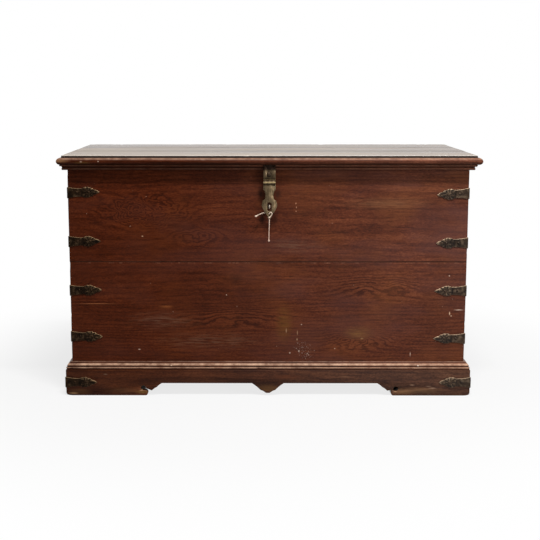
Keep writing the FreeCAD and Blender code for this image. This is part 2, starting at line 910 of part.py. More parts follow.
def staple_eye():
    centre_y = front_y - eye_out
    low = hasp_x - eye_width / 2
    high = hasp_x + eye_width / 2
    eye = cylinder_along(eye_radius, (low, centre_y, eye_z), (high, centre_y, eye_z))
    shank_start = centre_y + (eye_radius + eye_hole_radius) / 2
    shank_end = inner_front_y + clench_thickness
    shank = cylinder_along(
        eye_shank_radius, (hasp_x, shank_start, eye_z), (hasp_x, shank_end, eye_z)
    )
    clench = block(
        hasp_x - eye_shank_radius, hasp_x + eye_shank_radius,
        inner_front_y, inner_front_y + clench_thickness,
        eye_z - clench_length / 2, eye_z + clench_length / 2,
    )
    hole = cylinder_along(
        eye_hole_radius, (low - overrun, centre_y, eye_z), (high + overrun, centre_y, eye_z)
    )
    return eye.fuse(shank).fuse(clench).removeSplitter().cut(hole)


# Back hinges
def hinge_knuckle_edges(centre):
    low = centre - hinge_leaf_width / 2
    width = (hinge_leaf_width - 2 * hinge_barrel_gap) / 3
    step = width + hinge_barrel_gap
    return [(low + n * step, low + n * step + width) for n in range(3)]


def hinge_leaf(centre, far_z, own_knuckles, screws):
    """One leaf from its far edge to its knuckles, with holes for its screws."""
    low = centre - hinge_leaf_width / 2
    high = centre + hinge_leaf_width / 2
    side = 1 if far_z > hinge_axis_z else -1
    near_z = hinge_axis_z + side * (hinge_barrel_radius + hinge_barrel_gap)
    leaf = block(
        low, high, back_y, back_y + hinge_leaf_thickness, min(near_z, far_z), max(near_z, far_z)
    )
    for x_low, x_high in own_knuckles:
        tongue = block(
            x_low, x_high, back_y + seat_gap, back_y + hinge_leaf_thickness,
            min(near_z, hinge_axis_z), max(near_z, hinge_axis_z),
        )
        leaf = leaf.fuse(tongue)
        leaf = leaf.fuse(knuckle(x_low, x_high, hinge_barrel_radius, hinge_axis_y, hinge_axis_z))
    bore = knuckle(
        low - overrun, high + overrun, hinge_pin_radius + hole_gap, hinge_axis_y, hinge_axis_z
    )
    leaf = leaf.removeSplitter().cut(bore)
    hole_radius = screw_shank_radius + hole_gap
    for x, z in screws:
        hole = cylinder_along(hole_radius, (x, back_y - overrun, z), (x, back_y + 2 * overrun, z))
        leaf = leaf.cut(hole)
    return leaf


def hinge_screw_places(centre, far_z):
    side = 1 if far_z > hinge_axis_z else -1
    near_z = hinge_axis_z + side * (hinge_barrel_radius + hinge_barrel_gap)
    offset = hinge_leaf_width / 2 - hinge_screw_inset
    if side > 0:
        z = (near_z + far_z) / 2
        return [(centre - offset, z), (centre, z), (centre + offset, z)]
    low_z = far_z + hinge_screw_inset
    high_z = near_z - hinge_screw_inset
    corners = [(centre + way * offset, z) for way in (-1, 1) for z in (low_z, high_z)]
    return corners + [(centre, (low_z + high_z) / 2)]


def hinge_pin(centre):
    half = hinge_leaf_width / 2 + hole_gap
    low = centre - half
    high = centre + half
    pin = knuckle(low, high, hinge_pin_radius, hinge_axis_y, hinge_axis_z)
    for end, way in ((low, -1), (high, 1)):
        edges = sorted((end, end + way * hinge_pin_head_length))
        pin = pin.fuse(knuckle(*edges, hinge_pin_head_radius, hinge_axis_y, hinge_axis_z))
    return pin.removeSplitter()


def back_hinges():
    nodes = {}
    box_screws = []
    lid_screws = []
    pins = []
    box_far = hinge_axis_z - hinge_box_leaf_drop
    lid_far = lid_top - hinge_lid_edge_gap
    hinge_x = half_width - hinge_inset
    for name, centre in (("left", -hinge_x), ("right", hinge_x)):
        first, middle, last = hinge_knuckle_edges(centre)
        box_places = hinge_screw_places(centre, box_far)
        lid_places = hinge_screw_places(centre, lid_far)
        nodes["%s_hinge_box_leaf" % name] = hinge_leaf(centre, box_far, (first, last), box_places)
        nodes["%s_hinge_lid_leaf" % name] = hinge_leaf(centre, lid_far, (middle,), lid_places)
        pins.append(hinge_pin(centre))
        seat_y = back_y + hinge_leaf_thickness
        box_screws += [screw((x, seat_y, z), (0, 1, 0), screw_length) for x, z in box_places]
        lid_screws += [screw((x, seat_y, z), (0, 1, 0), screw_length) for x, z in lid_places]
    nodes["hinge_pins"] = Part.makeCompound(pins)
    nodes["box_hinge_screws"] = Part.makeCompound(box_screws)
    nodes["lid_screws"] = Part.makeCompound(lid_screws + batten_screws())
    return nodes


# Tie cord
def cord_path(route):
    """Straight runs joined by tangent arcs, each as large as its two runs allow."""
    points = [Vector(*point) for point in route]
    edges = []
    radii = []
    here = points[0]
    for before, corner, after in zip(points, points[1:], points[2:]):
        back = before - corner
        ahead = after - corner
        reach = cord_bend_share * min(back.Length, ahead.Length)
        back.normalize()
        ahead.normalize()
        half_turn = (math.pi - back.getAngle(ahead)) / 2
        radius = reach / math.tan(half_turn)
        start = corner + back * reach
        end = corner + ahead * reach
        inward = (back + ahead).normalize()
        middle = corner + inward * (radius / math.cos(half_turn) - radius)
        edges.append(Part.LineSegment(here, start).toShape())
        edges.append(Part.Arc(start, middle, end).toShape())
        radii.append(radius)
        here = end
    edges.append(Part.LineSegment(here, points[-1]).toShape())
    return Part.Wire(edges), radii


def cord_tube(name, route):
    path, radii = cord_path(route)
    start = Vector(*route[0])
    heading = Vector(*route[1]) - start
    ring = Part.Wire(Part.makeCircle(cord_diameter / 2, start, heading))
    tube = path.makePipeShell([ring], True, False)
    expected = math.pi * cord_diameter ** 2 / 4 * path.Length
    print(name, "length %.1f" % path.Length, "radii", ["%.1f" % radius for radius in radii])
    print(name, "volume %.2f of %.2f" % (tube.Volume, expected))
    return tube


def tie_cord():
    down = Vector(*tail_route[-1]) - Vector(*tail_route[-2])
    left = Vector(*end_route[-1]) - Vector(*end_route[-2])
    return {
        "tie_cord_loop": cord_tube("tie_cord_loop", loop_route),
        "tie_cord_tail": cord_tube("tie_cord_tail", tail_route),
        "tie_cord_end": cord_tube("tie_cord_end", end_route),
        "tie_cord_back_knot": Part.makeSphere(knot_radius, Vector(*loop_route[0])),
        "tie_cord_tip_knot": Part.makeSphere(tip_knot_radius, Vector(*loop_route[-1])),
        "tie_cord_tail_knot": bead(
            tail_knot_radius, tail_knot_length / 2, tail_route[-1], (down.x, down.y, down.z)
        ),
        "tie_cord_end_knot": bead(
            tail_knot_radius, tail_knot_length / 2, end_route[-1], (left.x, left.y, left.z)
        ),
    }


def build_nodes():
    nodes = {}
    nodes.update(box_boards())
    nodes.update(floor_boards())
    nodes.update(floor_ledges())
    nodes.update(plinth_boards())
    nodes["plinth_corner_blocks"] = corner_blocks()
    for name, profile, reach in (
        ("plinth_cap", cap_profile, plinth_thickness),
        ("lid_nose", nose_profile, nose_reach),
        ("dust_moulding", dust_profile, dust_reach),
    ):
        for side, piece in zip(("front", "left", "right"), moulding_set(profile, reach)):
            nodes["%s_%s" % (name, side)] = piece
    nodes.update(lid_boards())
    # The lid's boards and nose stand a little to the right of the box
    for name, piece in nodes.items():
        if name.startswith(("lid_board", "lid_nose")):
            piece.translate(Vector(lid_offset, 0, 0))
    nodes.update(lid_battens())
    nodes.update(corner_iron())
    nodes["hasp_lid_strap"] = hasp_lid_strap()
    nodes["hasp_strap_nails"] = hasp_nails()
    nodes["hasp_hinge_leaf"] = hasp_hinge_leaf()
    nodes["hasp_rivet"] = hasp_rivet()
    nodes["hasp_pin"] = hasp_pin()
    nodes["hasp_plate"] = hasp_plate()
    nodes["staple_eye"] = staple_eye()
    nodes.update(back_hinges())
    nodes.update(tie_cord())
    return nodes


os.makedirs("parts", exist_ok=True)
for node_name, node_shape in build_nodes().items():
    node_shape.exportStep("parts/%s.step" % node_name)
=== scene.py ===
import contextlib
import json
import math
import random

import bmesh
import bpy
from mathutils import Vector, noise

# Looks of the chest: worn planks, swept mouldings, forged iron and a twisted cotton tie cord.
# Lengths are in metres and angles in degrees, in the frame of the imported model. Colours are
# written as they look on a screen, from 0 to 255.
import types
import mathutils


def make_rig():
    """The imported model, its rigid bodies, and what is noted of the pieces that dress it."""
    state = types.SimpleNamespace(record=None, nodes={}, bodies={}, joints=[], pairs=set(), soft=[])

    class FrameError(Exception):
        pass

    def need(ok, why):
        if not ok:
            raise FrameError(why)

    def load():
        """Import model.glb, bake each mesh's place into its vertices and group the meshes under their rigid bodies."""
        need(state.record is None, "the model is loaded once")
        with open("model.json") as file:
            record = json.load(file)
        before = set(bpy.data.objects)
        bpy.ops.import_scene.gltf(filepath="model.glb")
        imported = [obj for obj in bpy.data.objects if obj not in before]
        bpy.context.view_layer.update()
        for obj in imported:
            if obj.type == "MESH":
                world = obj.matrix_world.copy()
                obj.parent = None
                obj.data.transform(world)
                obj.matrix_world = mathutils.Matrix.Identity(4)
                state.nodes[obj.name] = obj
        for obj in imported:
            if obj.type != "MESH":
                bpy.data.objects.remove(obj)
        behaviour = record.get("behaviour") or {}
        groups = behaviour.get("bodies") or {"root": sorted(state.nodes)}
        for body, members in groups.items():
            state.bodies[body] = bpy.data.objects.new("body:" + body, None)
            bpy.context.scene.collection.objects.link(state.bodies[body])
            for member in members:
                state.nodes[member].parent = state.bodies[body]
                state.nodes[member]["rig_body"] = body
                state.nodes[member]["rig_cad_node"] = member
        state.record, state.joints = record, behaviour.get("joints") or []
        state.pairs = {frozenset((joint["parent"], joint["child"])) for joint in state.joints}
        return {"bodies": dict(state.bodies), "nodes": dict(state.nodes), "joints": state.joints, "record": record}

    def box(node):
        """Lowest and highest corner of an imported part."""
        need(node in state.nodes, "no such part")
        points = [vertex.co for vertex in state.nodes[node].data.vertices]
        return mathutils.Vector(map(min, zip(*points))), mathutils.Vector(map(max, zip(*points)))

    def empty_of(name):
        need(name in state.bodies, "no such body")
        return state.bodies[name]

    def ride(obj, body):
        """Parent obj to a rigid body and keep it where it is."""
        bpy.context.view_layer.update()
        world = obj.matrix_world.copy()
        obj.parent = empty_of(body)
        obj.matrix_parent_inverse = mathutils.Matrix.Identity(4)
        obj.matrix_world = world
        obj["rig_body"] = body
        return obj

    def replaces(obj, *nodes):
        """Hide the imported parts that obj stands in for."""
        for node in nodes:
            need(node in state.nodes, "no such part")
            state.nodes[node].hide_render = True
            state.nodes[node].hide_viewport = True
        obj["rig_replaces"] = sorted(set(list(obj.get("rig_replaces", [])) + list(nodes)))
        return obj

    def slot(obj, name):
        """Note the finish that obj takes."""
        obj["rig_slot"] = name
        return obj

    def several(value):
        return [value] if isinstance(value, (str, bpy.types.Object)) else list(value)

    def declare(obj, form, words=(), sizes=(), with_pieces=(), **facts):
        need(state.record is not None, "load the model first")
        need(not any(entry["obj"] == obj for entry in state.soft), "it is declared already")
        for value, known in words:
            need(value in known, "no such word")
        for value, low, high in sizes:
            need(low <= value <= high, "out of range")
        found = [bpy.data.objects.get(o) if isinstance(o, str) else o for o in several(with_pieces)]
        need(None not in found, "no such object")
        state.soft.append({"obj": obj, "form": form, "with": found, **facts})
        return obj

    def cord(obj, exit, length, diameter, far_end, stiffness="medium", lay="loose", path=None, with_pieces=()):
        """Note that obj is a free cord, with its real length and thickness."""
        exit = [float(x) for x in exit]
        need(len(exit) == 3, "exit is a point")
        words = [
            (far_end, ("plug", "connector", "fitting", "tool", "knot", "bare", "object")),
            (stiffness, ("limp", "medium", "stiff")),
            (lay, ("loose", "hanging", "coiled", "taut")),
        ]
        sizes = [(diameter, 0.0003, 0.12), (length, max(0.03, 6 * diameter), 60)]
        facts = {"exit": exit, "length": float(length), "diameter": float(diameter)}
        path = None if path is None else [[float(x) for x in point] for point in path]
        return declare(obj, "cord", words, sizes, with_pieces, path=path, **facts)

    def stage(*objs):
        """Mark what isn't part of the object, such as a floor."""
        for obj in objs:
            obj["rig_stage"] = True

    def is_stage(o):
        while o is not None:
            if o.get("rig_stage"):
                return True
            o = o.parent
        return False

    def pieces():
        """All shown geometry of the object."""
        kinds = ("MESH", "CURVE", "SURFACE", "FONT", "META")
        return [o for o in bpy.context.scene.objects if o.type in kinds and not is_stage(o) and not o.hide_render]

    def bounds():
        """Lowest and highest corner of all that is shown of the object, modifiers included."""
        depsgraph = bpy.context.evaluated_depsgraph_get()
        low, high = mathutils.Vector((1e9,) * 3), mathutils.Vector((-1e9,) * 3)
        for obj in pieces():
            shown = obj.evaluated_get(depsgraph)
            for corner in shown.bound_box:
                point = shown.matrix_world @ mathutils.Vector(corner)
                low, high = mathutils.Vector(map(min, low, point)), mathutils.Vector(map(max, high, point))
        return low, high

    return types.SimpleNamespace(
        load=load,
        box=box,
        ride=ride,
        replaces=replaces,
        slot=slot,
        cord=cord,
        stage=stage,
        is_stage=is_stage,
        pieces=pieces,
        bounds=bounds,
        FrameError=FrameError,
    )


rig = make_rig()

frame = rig.load()
cad_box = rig.bounds()

# Camera
camera_place = (-0.035, -3.438, 0.967)
camera_pitch = 8.80
camera_turn = 0.19
camera_lens = 69.8
camera_shift = (0.0310, -0.0488)

# Tie cord: the same points as the solids follow
cord_diameter = 0.0028
strand_count = 3
strand_sides = 8
strand_radius = 0.00082
strand_offset = 0.00062
strand_pitch = 0.0078
back_knot_radius = 0.0024
tip_knot_radius = 0.0029
end_knot_radius = 0.0027
end_knot_half = 0.0035
knot_rings = 18
knot_sides = 24
knot_merge_share = 0.001
loop_route = [
    (0.0025, -0.2824, 0.5697),
    (0.0025, -0.2916, 0.5704),
    (0.0055, -0.2922, 0.5775),
    (0.0126, -0.2916, 0.5730),
    (0.0090, -0.2912, 0.5648),
    (0.0036, -0.2910, 0.5598),
]
tail_route = [
    (0.0035, -0.2910, 0.5580),
    (0.0029, -0.2914, 0.5360),
    (0.0023, -0.2929, 0.5120),
    (0.0020, -0.2950, 0.4895),
]
end_route = [
    (0.0012, -0.2826, 0.5706),
    (-0.0115, -0.2830, 0.5750),
    (-0.0245, -0.2849, 0.5698),
    (-0.0370, -0.2868, 0.5634),
]


def add_object(name, data):
    thing = bpy.data.objects.new(name, data)
    bpy.context.scene.collection.objects.link(thing)
    return thing


def make_camera():
    data = bpy.data.cameras.new("camera")
    data.lens = camera_lens
    data.shift_x, data.shift_y = camera_shift
    camera = add_object("camera", data)
    camera.location = camera_place
    tilt = math.radians(90 - camera_pitch)
    camera.rotation_euler = (tilt, 0, math.radians(camera_turn))
    bpy.context.scene.camera = camera


# Meshes
smooth_limit = 38


@contextlib.contextmanager
def edited(mesh):
    """A mesh opened for edits, which are written back to it at the end."""
    work = bmesh.new()
    work.from_mesh(mesh)
    yield work
    work.to_mesh(mesh)
    work.free()


def smooth_by_angle(work, limit):
    """Shade a mesh smooth, apart from the edges that are sharper than a limit."""
    for face in work.faces:
        face.smooth = True
    for edge in work.edges:
        edge.smooth = edge.calc_face_angle(0) < math.radians(limit)


def new_piece(name, body, vertices, faces, marks=None):
    """A mesh piece that rides on a body. marks are per-vertex values for the materials."""
    mesh = bpy.data.meshes.new(name)
    mesh.from_pydata(vertices, [], faces)
    for mark, values in (marks or {}).items():
        layer = mesh.attributes.new(mark, "FLOAT", "POINT")
        layer.data.foreach_set("value", values)
    mesh.update()
    piece = add_object(name, mesh)
    with edited(mesh) as work:
        bmesh.ops.recalc_face_normals(work, faces=work.faces)
        smooth_by_angle(work, smooth_limit)
    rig.ride(piece, body)
    return piece


def body_of_node(node):
    for body, nodes in frame["record"]["behaviour"]["bodies"].items():
        if node in nodes:
            return body
    raise ValueError(node)


def cover(piece, material):
    piece.data.materials.clear()
    piece.data.materials.append(material)


def stand_in(piece, node, slot, material):
    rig.replaces(piece, node)
    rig.slot(piece, slot)
    cover(piece, material)


def ring_faces(first, rings, sides):
    """Faces of a tube between rings of vertices, counted from the tube's first vertex."""
    faces = []
    for ring in range(rings - 1):
        start = first + ring * sides
        for side in range(sides):
            here, after = start + side, start + (side + 1) % sides
            faces.append((here, after, after + sides, here + sides))
    return faces


def end_faces(first, rings, sides):
    """Faces that close both ends of such a tube."""
    last = first + (rings - 1) * sides
    return [tuple(range(first, first + sides)), tuple(range(last, last + sides))]


def around(u, v, angle):
    return u * math.cos(angle) + v * math.sin(angle)


# Cord
def route_points(route):
    """Even points along the smooth line of a cord's route."""
    curve = bpy.data.curves.new("route", "CURVE")
    curve.dimensions = "3D"
    curve.resolution_u = 12
    spline = curve.splines.new("NURBS")
    spline.points.add(len(route) - 1)
    for point, place in zip(spline.points, route):
        point.co = (*place, 1)
    spline.order_u = 3
    spline.use_endpoint_u = True
    holder = bpy.data.objects.new("route", curve)
    mesh = bpy.data.meshes.new_from_object(holder)
    points = [vertex.co.copy() for vertex in mesh.vertices]
    bpy.data.objects.remove(holder)
    bpy.data.meshes.remove(mesh)
    bpy.data.curves.remove(curve)
    return points


def resampled(points, step):
    """Points about a step apart along a line of points, and the line's length."""
    lengths = [0.0]
    for before, after in zip(points, points[1:]):
        lengths.append(lengths[-1] + (after - before).length)
    count = max(2, round(lengths[-1] / step))
    result = []
    index = 0
    for number in range(count + 1):
        target = lengths[-1] * number / count
        while index < len(points) - 2 and lengths[index + 1] < target:
            index += 1
        span = lengths[index + 1] - lengths[index]
        share = (target - lengths[index]) / span
        result.append(points[index].lerp(points[index + 1], share))
    return result, lengths[-1]


def twisted_cord(name, route):
    """Cotton strands twisted round the line of the route, as one mesh."""
    points, length = resampled(route_points(route), strand_radius)
    last = len(points) - 1
    tangents = [
        (points[min(index + 1, last)] - points[max(index - 1, 0)]).normalized()
        for index in range(last + 1)
    ]
    across = tangents[0].orthogonal().normalized()
    axes = []
    for tangent in tangents:
        across = (across - tangent * across.dot(tangent)).normalized()
        axes.append((across.copy(), tangent.cross(across)))
    vertices = []
    faces = []
    for strand in range(strand_count):
        first = len(vertices)
        for index, (point, (u, v)) in enumerate(zip(points, axes)):
            travel = length * index / last
            turn = 2 * math.pi * (travel / strand_pitch + strand / strand_count)
            centre = point + around(u, v, turn) * strand_offset
            for side in range(strand_sides):
                angle = 2 * math.pi * side / strand_sides
                vertices.append(centre + around(u, v, angle) * strand_radius)
        faces += ring_faces(first, last + 1, strand_sides)
        faces += end_faces(first, last + 1, strand_sides)
    return new_piece(name, "hasp", vertices, faces), points, length


def knot(name, centre, radius, half_length, direction):
    """A tight knot: a rounded lump with the cord's turns wound round it."""
    axis = Vector(direction).normalized()
    u = axis.orthogonal().normalized()
    v = axis.cross(u)
    vertices = []
    for ring in range(knot_rings + 1):
        lean = math.pi * ring / knot_rings
        for side in range(knot_sides):
            turn = 2 * math.pi * side / knot_sides
            wrap = math.cos(5.0 * lean + turn) + 0.5 * math.cos(3.0 * lean - 2 * turn)
            out = radius * math.sin(lean) * (1 + 0.10 * wrap * math.sin(lean))
            along = half_length * math.cos(lean)
            vertices.append(Vector(centre) + axis * along + around(u, v, turn) * out)
    piece = new_piece(name, "hasp", vertices, ring_faces(0, knot_rings + 1, knot_sides))
    with edited(piece.data) as work:
        bmesh.ops.remove_doubles(work, verts=work.verts, dist=radius * knot_merge_share)
    return piece


# Node trees
mark_depth = 0.05


class Nodes:
    """Short calls for building a node tree. Values may be numbers or sockets."""

    def __init__(self, tree):
        self.tree = tree

    def add(self, kind, inputs=None, **settings):
        node = self.tree.nodes.new(kind)
        for key, value in settings.items():
            setattr(node, key, value)
        for key, value in (inputs or {}).items():
            self.feed(node.inputs[key], value)
        return node

    def feed(self, socket, value):
        if isinstance(value, bpy.types.NodeSocket):
            self.tree.links.new(value, socket)
        else:
            socket.default_value = value

    def math(self, operation, *values):
        return self.add("ShaderNodeMath", dict(enumerate(values)), operation=operation).outputs[0]

    def plus(self, first, second):
        return self.math("ADD", first, second)

    def minus(self, first, second):
        return self.math("SUBTRACT", first, second)

    def times(self, first, second):
        return self.math("MULTIPLY", first, second)

    def off(self, value, level):
        """How far a value lies from a level."""
        return self.math("ABSOLUTE", self.minus(value, level))

    def vector(self, operation, *values):
        node = self.add("ShaderNodeVectorMath", dict(enumerate(values)), operation=operation)
        return node.outputs["Value" if operation == "LENGTH" else 0]

    def parts(self, vector):
        return self.add("ShaderNodeSeparateXYZ", {0: vector}).outputs

    def ramp(self, value, low, high, out_low=0.0, out_high=1.0, kind="LINEAR"):
        return self.add("ShaderNodeMapRange", {
            "Value": value, "From Min": low, "From Max": high,
            "To Min": out_low, "To Max": out_high,
        }, interpolation_type=kind).outputs[0]

    def blend(self, share, first, second):
        return self.add("ShaderNodeMix", {0: share, 2: first, 3: second}, data_type="FLOAT").outputs[0]


class Shader(Nodes):
    """Short calls for building one material of the chest, in the object's own places."""

    def __init__(self, name):
        self.material = bpy.data.materials.new(name)
        self.material.use_nodes = True
        super().__init__(self.material.node_tree)
        self.surface = self.tree.nodes["Principled BSDF"]
        self.place = self.add("ShaderNodeTexCoord").outputs["Object"]

    def axis(self, name):
        return self.parts(self.place)[name]

    def scaled(self, vector, scale):
        return self.add("ShaderNodeMapping", {"Vector": vector, "Scale": scale}).outputs[0]

    def noise(self, vector, scale, detail, roughness=0.55):
        return self.add("ShaderNodeTexNoise", {
            "Vector": vector, "Scale": scale, "Detail": detail, "Roughness": roughness,
        }).outputs["Fac"]

    def mix(self, share, first, second):
        node = self.add("ShaderNodeMix", {0: share, 6: first, 7: second}, data_type="RGBA")
        return node.outputs[2]

    def tint(self, share, colour, tone):
        """A colour with a share of a screen colour laid over it."""
        return self.mix(share, colour, rgb(tone))

    def painted_light_tint(self, share, colour, gains, lifts):
        """A colour that turns by a share into itself times some gains, plus some lifts. Here it paints light and sheen
        that grow towards the right.
        """
        return self.mix(share, colour, self.vector("MULTIPLY_ADD", colour, gains, lifts))

    def mark(self, name):
        return self.add("ShaderNodeAttribute", attribute_name=name).outputs["Fac"]

    def spot(self, centre, size):
        """1 at a place on the object, falling to 0 over the given size along each axis."""
        shifted = self.vector("SUBTRACT", self.place, centre)
        stretched = self.vector("MULTIPLY", shifted, tuple(1 / side for side in size))
        return self.ramp(self.vector("LENGTH", stretched), 0.0, 1.0, 1.0, 0.0, "SMOOTHSTEP")

    def painted(self, colour, spots, face, broken=None, deep=mark_depth):
        """Marks on a face that looks to the front. Each spot has its centre's x and height, its
        half width and half height, its screen colour and its strength."""
        for across, height, wide, tall, tone, strength in spots:
            share = self.times(self.spot((across, face, height), (wide, deep, tall)), strength)
            if broken:
                share = self.times(share, broken)
            colour = self.tint(share, colour, tone)
        return colour

    def finish(self, inputs, height, distance, strength):
        """Set the surface's sockets by name, and its bumps from a height."""
        bump = self.add("ShaderNodeBump", {"Height": height, "Distance": distance, "Strength": strength})
        for name, value in {**inputs, "Normal": bump.outputs[0]}.items():
            self.feed(self.surface.inputs[name], value)
        return self.material


def rgb(tone):
    """A screen colour as the renderer's linear colour."""
    def linear(value):
        value = value / 255
        return value / 12.92 if value <= 0.04045 else ((value + 0.055) / 1.055) ** 2.4
    return (*(linear(value) for value in tone), 1.0)


# Wood
ring_width = 0.0100
ring_bend = 0.060
ring_shake = 0.005
wood_relief = 0.0006
pore_brown = (18, 7, 4)
grime_and_shade_brown = (20, 6, 2)


def drawn_out(lane, share):
    """Scales that draw a pattern out along one axis."""
    return tuple(share if axis == lane else 1.0 for axis in range(3))


def wood(
    name, along, pith, tones, worn, swirls=(), polish=0.42, rub_and_highlight_share=0.6, mirror=0.12, extra=None,
):
    """Solid wood with its grain along one axis: growth rings round a pith, streaks and pores."""
    shader = Shader(name)
    place = shader.place
    lane = "xyz".index(along)
    dark, middle, light = (rgb(tone) for tone in tones)
    slow_place = shader.scaled(place, drawn_out(lane, 0.12))
    fine_place = shader.scaled(place, drawn_out(lane, 0.08))

    # Rings: the distance from the pith, bent by slow noise and by swirls near knots
    flat = shader.vector("MULTIPLY", shader.vector("SUBTRACT", place, pith), drawn_out(lane, 0.0))
    reach = shader.vector("LENGTH", flat)
    reach = shader.plus(reach, shader.times(shader.noise(slow_place, 10.0, 4.0), ring_bend))
    reach = shader.plus(reach, shader.times(shader.noise(place, 34.0, 3.0), ring_shake))
    near_swirl = 0.0
    ruffle = shader.noise(shader.scaled(place, (0.6, 1.0, 1.0)), 24.0, 3.0, 0.5)
    for centre, size, lift in swirls:
        spot = shader.spot(centre, size)
        near_swirl = shader.math("MAXIMUM", near_swirl, spot)
        uneven = shader.times(shader.ramp(ruffle, 0.3, 0.7, 0.35, 1.65), lift)
        reach = shader.plus(reach, shader.times(spot, uneven))
    rings = shader.math("SINE", shader.times(reach, 2 * math.pi / ring_width))
    rings = shader.math("POWER", shader.ramp(rings, -1.0, 1.0), 2.0)
    ring_share = shader.plus(0.10, shader.times(near_swirl, 0.25))

    streaks = shader.noise(fine_place, 210.0, 5.0, 0.66)
    bands = shader.noise(slow_place, 30.0, 4.0, 0.6)
    grit = shader.noise(shader.scaled(place, drawn_out(lane, 0.4)), 380.0, 2.0, 0.6)
    pores = shader.ramp(shader.noise(fine_place, 900.0, 2.0, 0.5), 0.60, 0.74)
    clouds = shader.noise(place, 4.2, 4.0, 0.6)
    figure = shader.times(shader.minus(0.4, rings), ring_share)
    for pattern, share in ((streaks, 0.42), (bands, 0.36), (grit, 0.52)):
        figure = shader.plus(figure, shader.times(pattern, share))
    colour = shader.mix(shader.ramp(figure, 0.49, 0.66), dark, middle)
    colour = shader.mix(shader.ramp(figure, 0.66, 0.84), colour, light)
    colour = shader.mix(shader.ramp(clouds, 0.34, 0.56, 0.40, 0.0), colour, dark)
    colour = shader.tint(shader.times(pores, 0.35), colour, pore_brown)

    roughness = shader.ramp(streaks, 0.3, 0.7, polish - 0.05, polish + 0.12)
    if extra:
        colour, roughness = extra(shader, colour, roughness, streaks)

    # Edges that hands have rubbed, with painted highlights on the mouldings' crests; dirt and painted shade in the
    # corners of the mouldings, and darkened sides of the lid's boards
    patchy = shader.ramp(shader.noise(place, 38.0, 4.0, 0.65), 0.36, 0.62, 0.35, 1.0)
    rub_and_highlight = shader.times(shader.mark("wear_and_highlight"), shader.times(patchy, rub_and_highlight_share))
    colour = shader.tint(rub_and_highlight, colour, worn)
    colour = shader.tint(shader.mark("grime_and_shade"), colour, grime_and_shade_brown)
    height = shader.minus(shader.times(streaks, 0.7), shader.times(pores, 0.5))
    height = shader.minus(height, shader.times(rings, 0.12))
    return shader.finish(
        {"Base Color": colour, "Roughness": roughness, "Specular IOR Level": mirror},
        height, wood_relief, 0.45,
    )


# Iron
rivet_place = (0.0013, -0.291, 0.6903)
rivet_shadow_size = (0.0115, 0.02, 0.0115)
plate_top = (0.668, 0.676)
strap_foot = (0.700, 0.706)
strap_painted_light = (-0.4, 0.4)
iron_grime = (10, 8, 6)
rivet_shadow_brown = (38, 27, 15)
shaded_brown = (32, 15, 7)
# Painted highlights and shadows across the knuckle: height, half height, colour and strength
knuckle_highlights_and_shadows = (
    (0.6662, 0.0019, (204, 180, 130), 0.80),
    (0.6610, 0.0022, (14, 11, 8), 0.85),
    (0.6712, 0.0018, (44, 32, 18), 0.80),
    (0.6753, 0.0016, (168, 144, 100), 0.60),
    (0.6790, 0.0016, (40, 28, 16), 0.50),
)


def hasp_marks(shader, colour, lines, dark, light, brushed):
    """File marks on the hasp, painted highlights and shadows across its knuckle, a painted shadow round the rivet, and
    a darker strap above, partly painted shade under the nose and partly dirt.
    """
    level = shader.axis("Z")
    plate = shader.ramp(level, *plate_top, brushed, 0.25 * brushed)
    colour = shader.mix(shader.times(shader.ramp(lines, 0.52, 0.70), plate), colour, light)
    colour = shader.mix(shader.ramp(lines, 0.30, 0.46, brushed, 0.0), colour, dark)
    # Painted highlights and shadows across the knuckle.
    for height, half, tone, strength in knuckle_highlights_and_shadows:
        line = shader.ramp(shader.off(level, height), half * 0.4, half, strength, 0.0)
        colour = shader.tint(line, colour, tone)
    # A painted shadow round the rivet.
    ring = shader.spot(rivet_place, rivet_shadow_size)
    colour = shader.tint(shader.times(ring, 0.75), colour, rivet_shadow_brown)
    # The strap above is darker: partly painted shade under the nose, partly dirt.
    return shader.tint(shader.ramp(level, *strap_foot, 0.0, 0.96), colour, shaded_brown)


def iron(name, tones, metal, smooth, lump, brushed=0.0, lightening=False):
    """Hand-worked iron: blotched patina, hammered dimples and brighter rubbed edges, which on the straps' upper rims
    are partly painted highlight, and, where asked, painted light towards the right.
    """
    shader = Shader(name)
    place = shader.place
    dark, middle, light = (rgb(tone) for tone in tones)
    blotch = shader.noise(place, 46.0, 5.0, 0.65)
    fleck = shader.noise(place, 260.0, 4.0, 0.6)
    colour = shader.mix(shader.ramp(blotch, 0.36, 0.66), dark, middle)
    colour = shader.mix(shader.ramp(fleck, 0.60, 0.80, 0.0, 0.45), colour, light)
    # Rubbed edges, partly painted highlight on the straps' upper rims.
    rub_and_highlight = shader.times(shader.mark("wear_and_highlight"), shader.ramp(blotch, 0.25, 0.55, 0.55, 1.0))
    colour = shader.mix(rub_and_highlight, colour, light)
    colour = shader.tint(shader.mark("grime_and_shade"), colour, iron_grime)
    rough = shader.ramp(fleck, 0.3, 0.7, smooth - 0.08, smooth + 0.14)
    height = shader.plus(shader.noise(place, 130.0, 2.0, 0.5), shader.times(fleck, 0.3))
    if brushed:
        lines = shader.noise(shader.scaled(place, (1.0, 1.0, 0.05)), 520.0, 3.0, 0.6)
        colour = hasp_marks(shader, colour, lines, dark, light, brushed)
        height = shader.plus(height, lines)
    # Painted light that makes the iron lighter and greyer towards the right.
    if lightening:
        lit_rightward = shader.ramp(shader.axis("X"), *strap_painted_light)
        colour = shader.painted_light_tint(lit_rightward, colour, (1.7, 1.9, 2.3), (0.010, 0.010, 0.010))
    return shader.finish(
        {"Base Color": colour, "Metallic": metal, "Specular IOR Level": 0.2, "Roughness": rough},
        height, lump, 0.6,
    )


# Cotton
tail_level = (0.530, 0.556)
fibre_relief = 0.0002


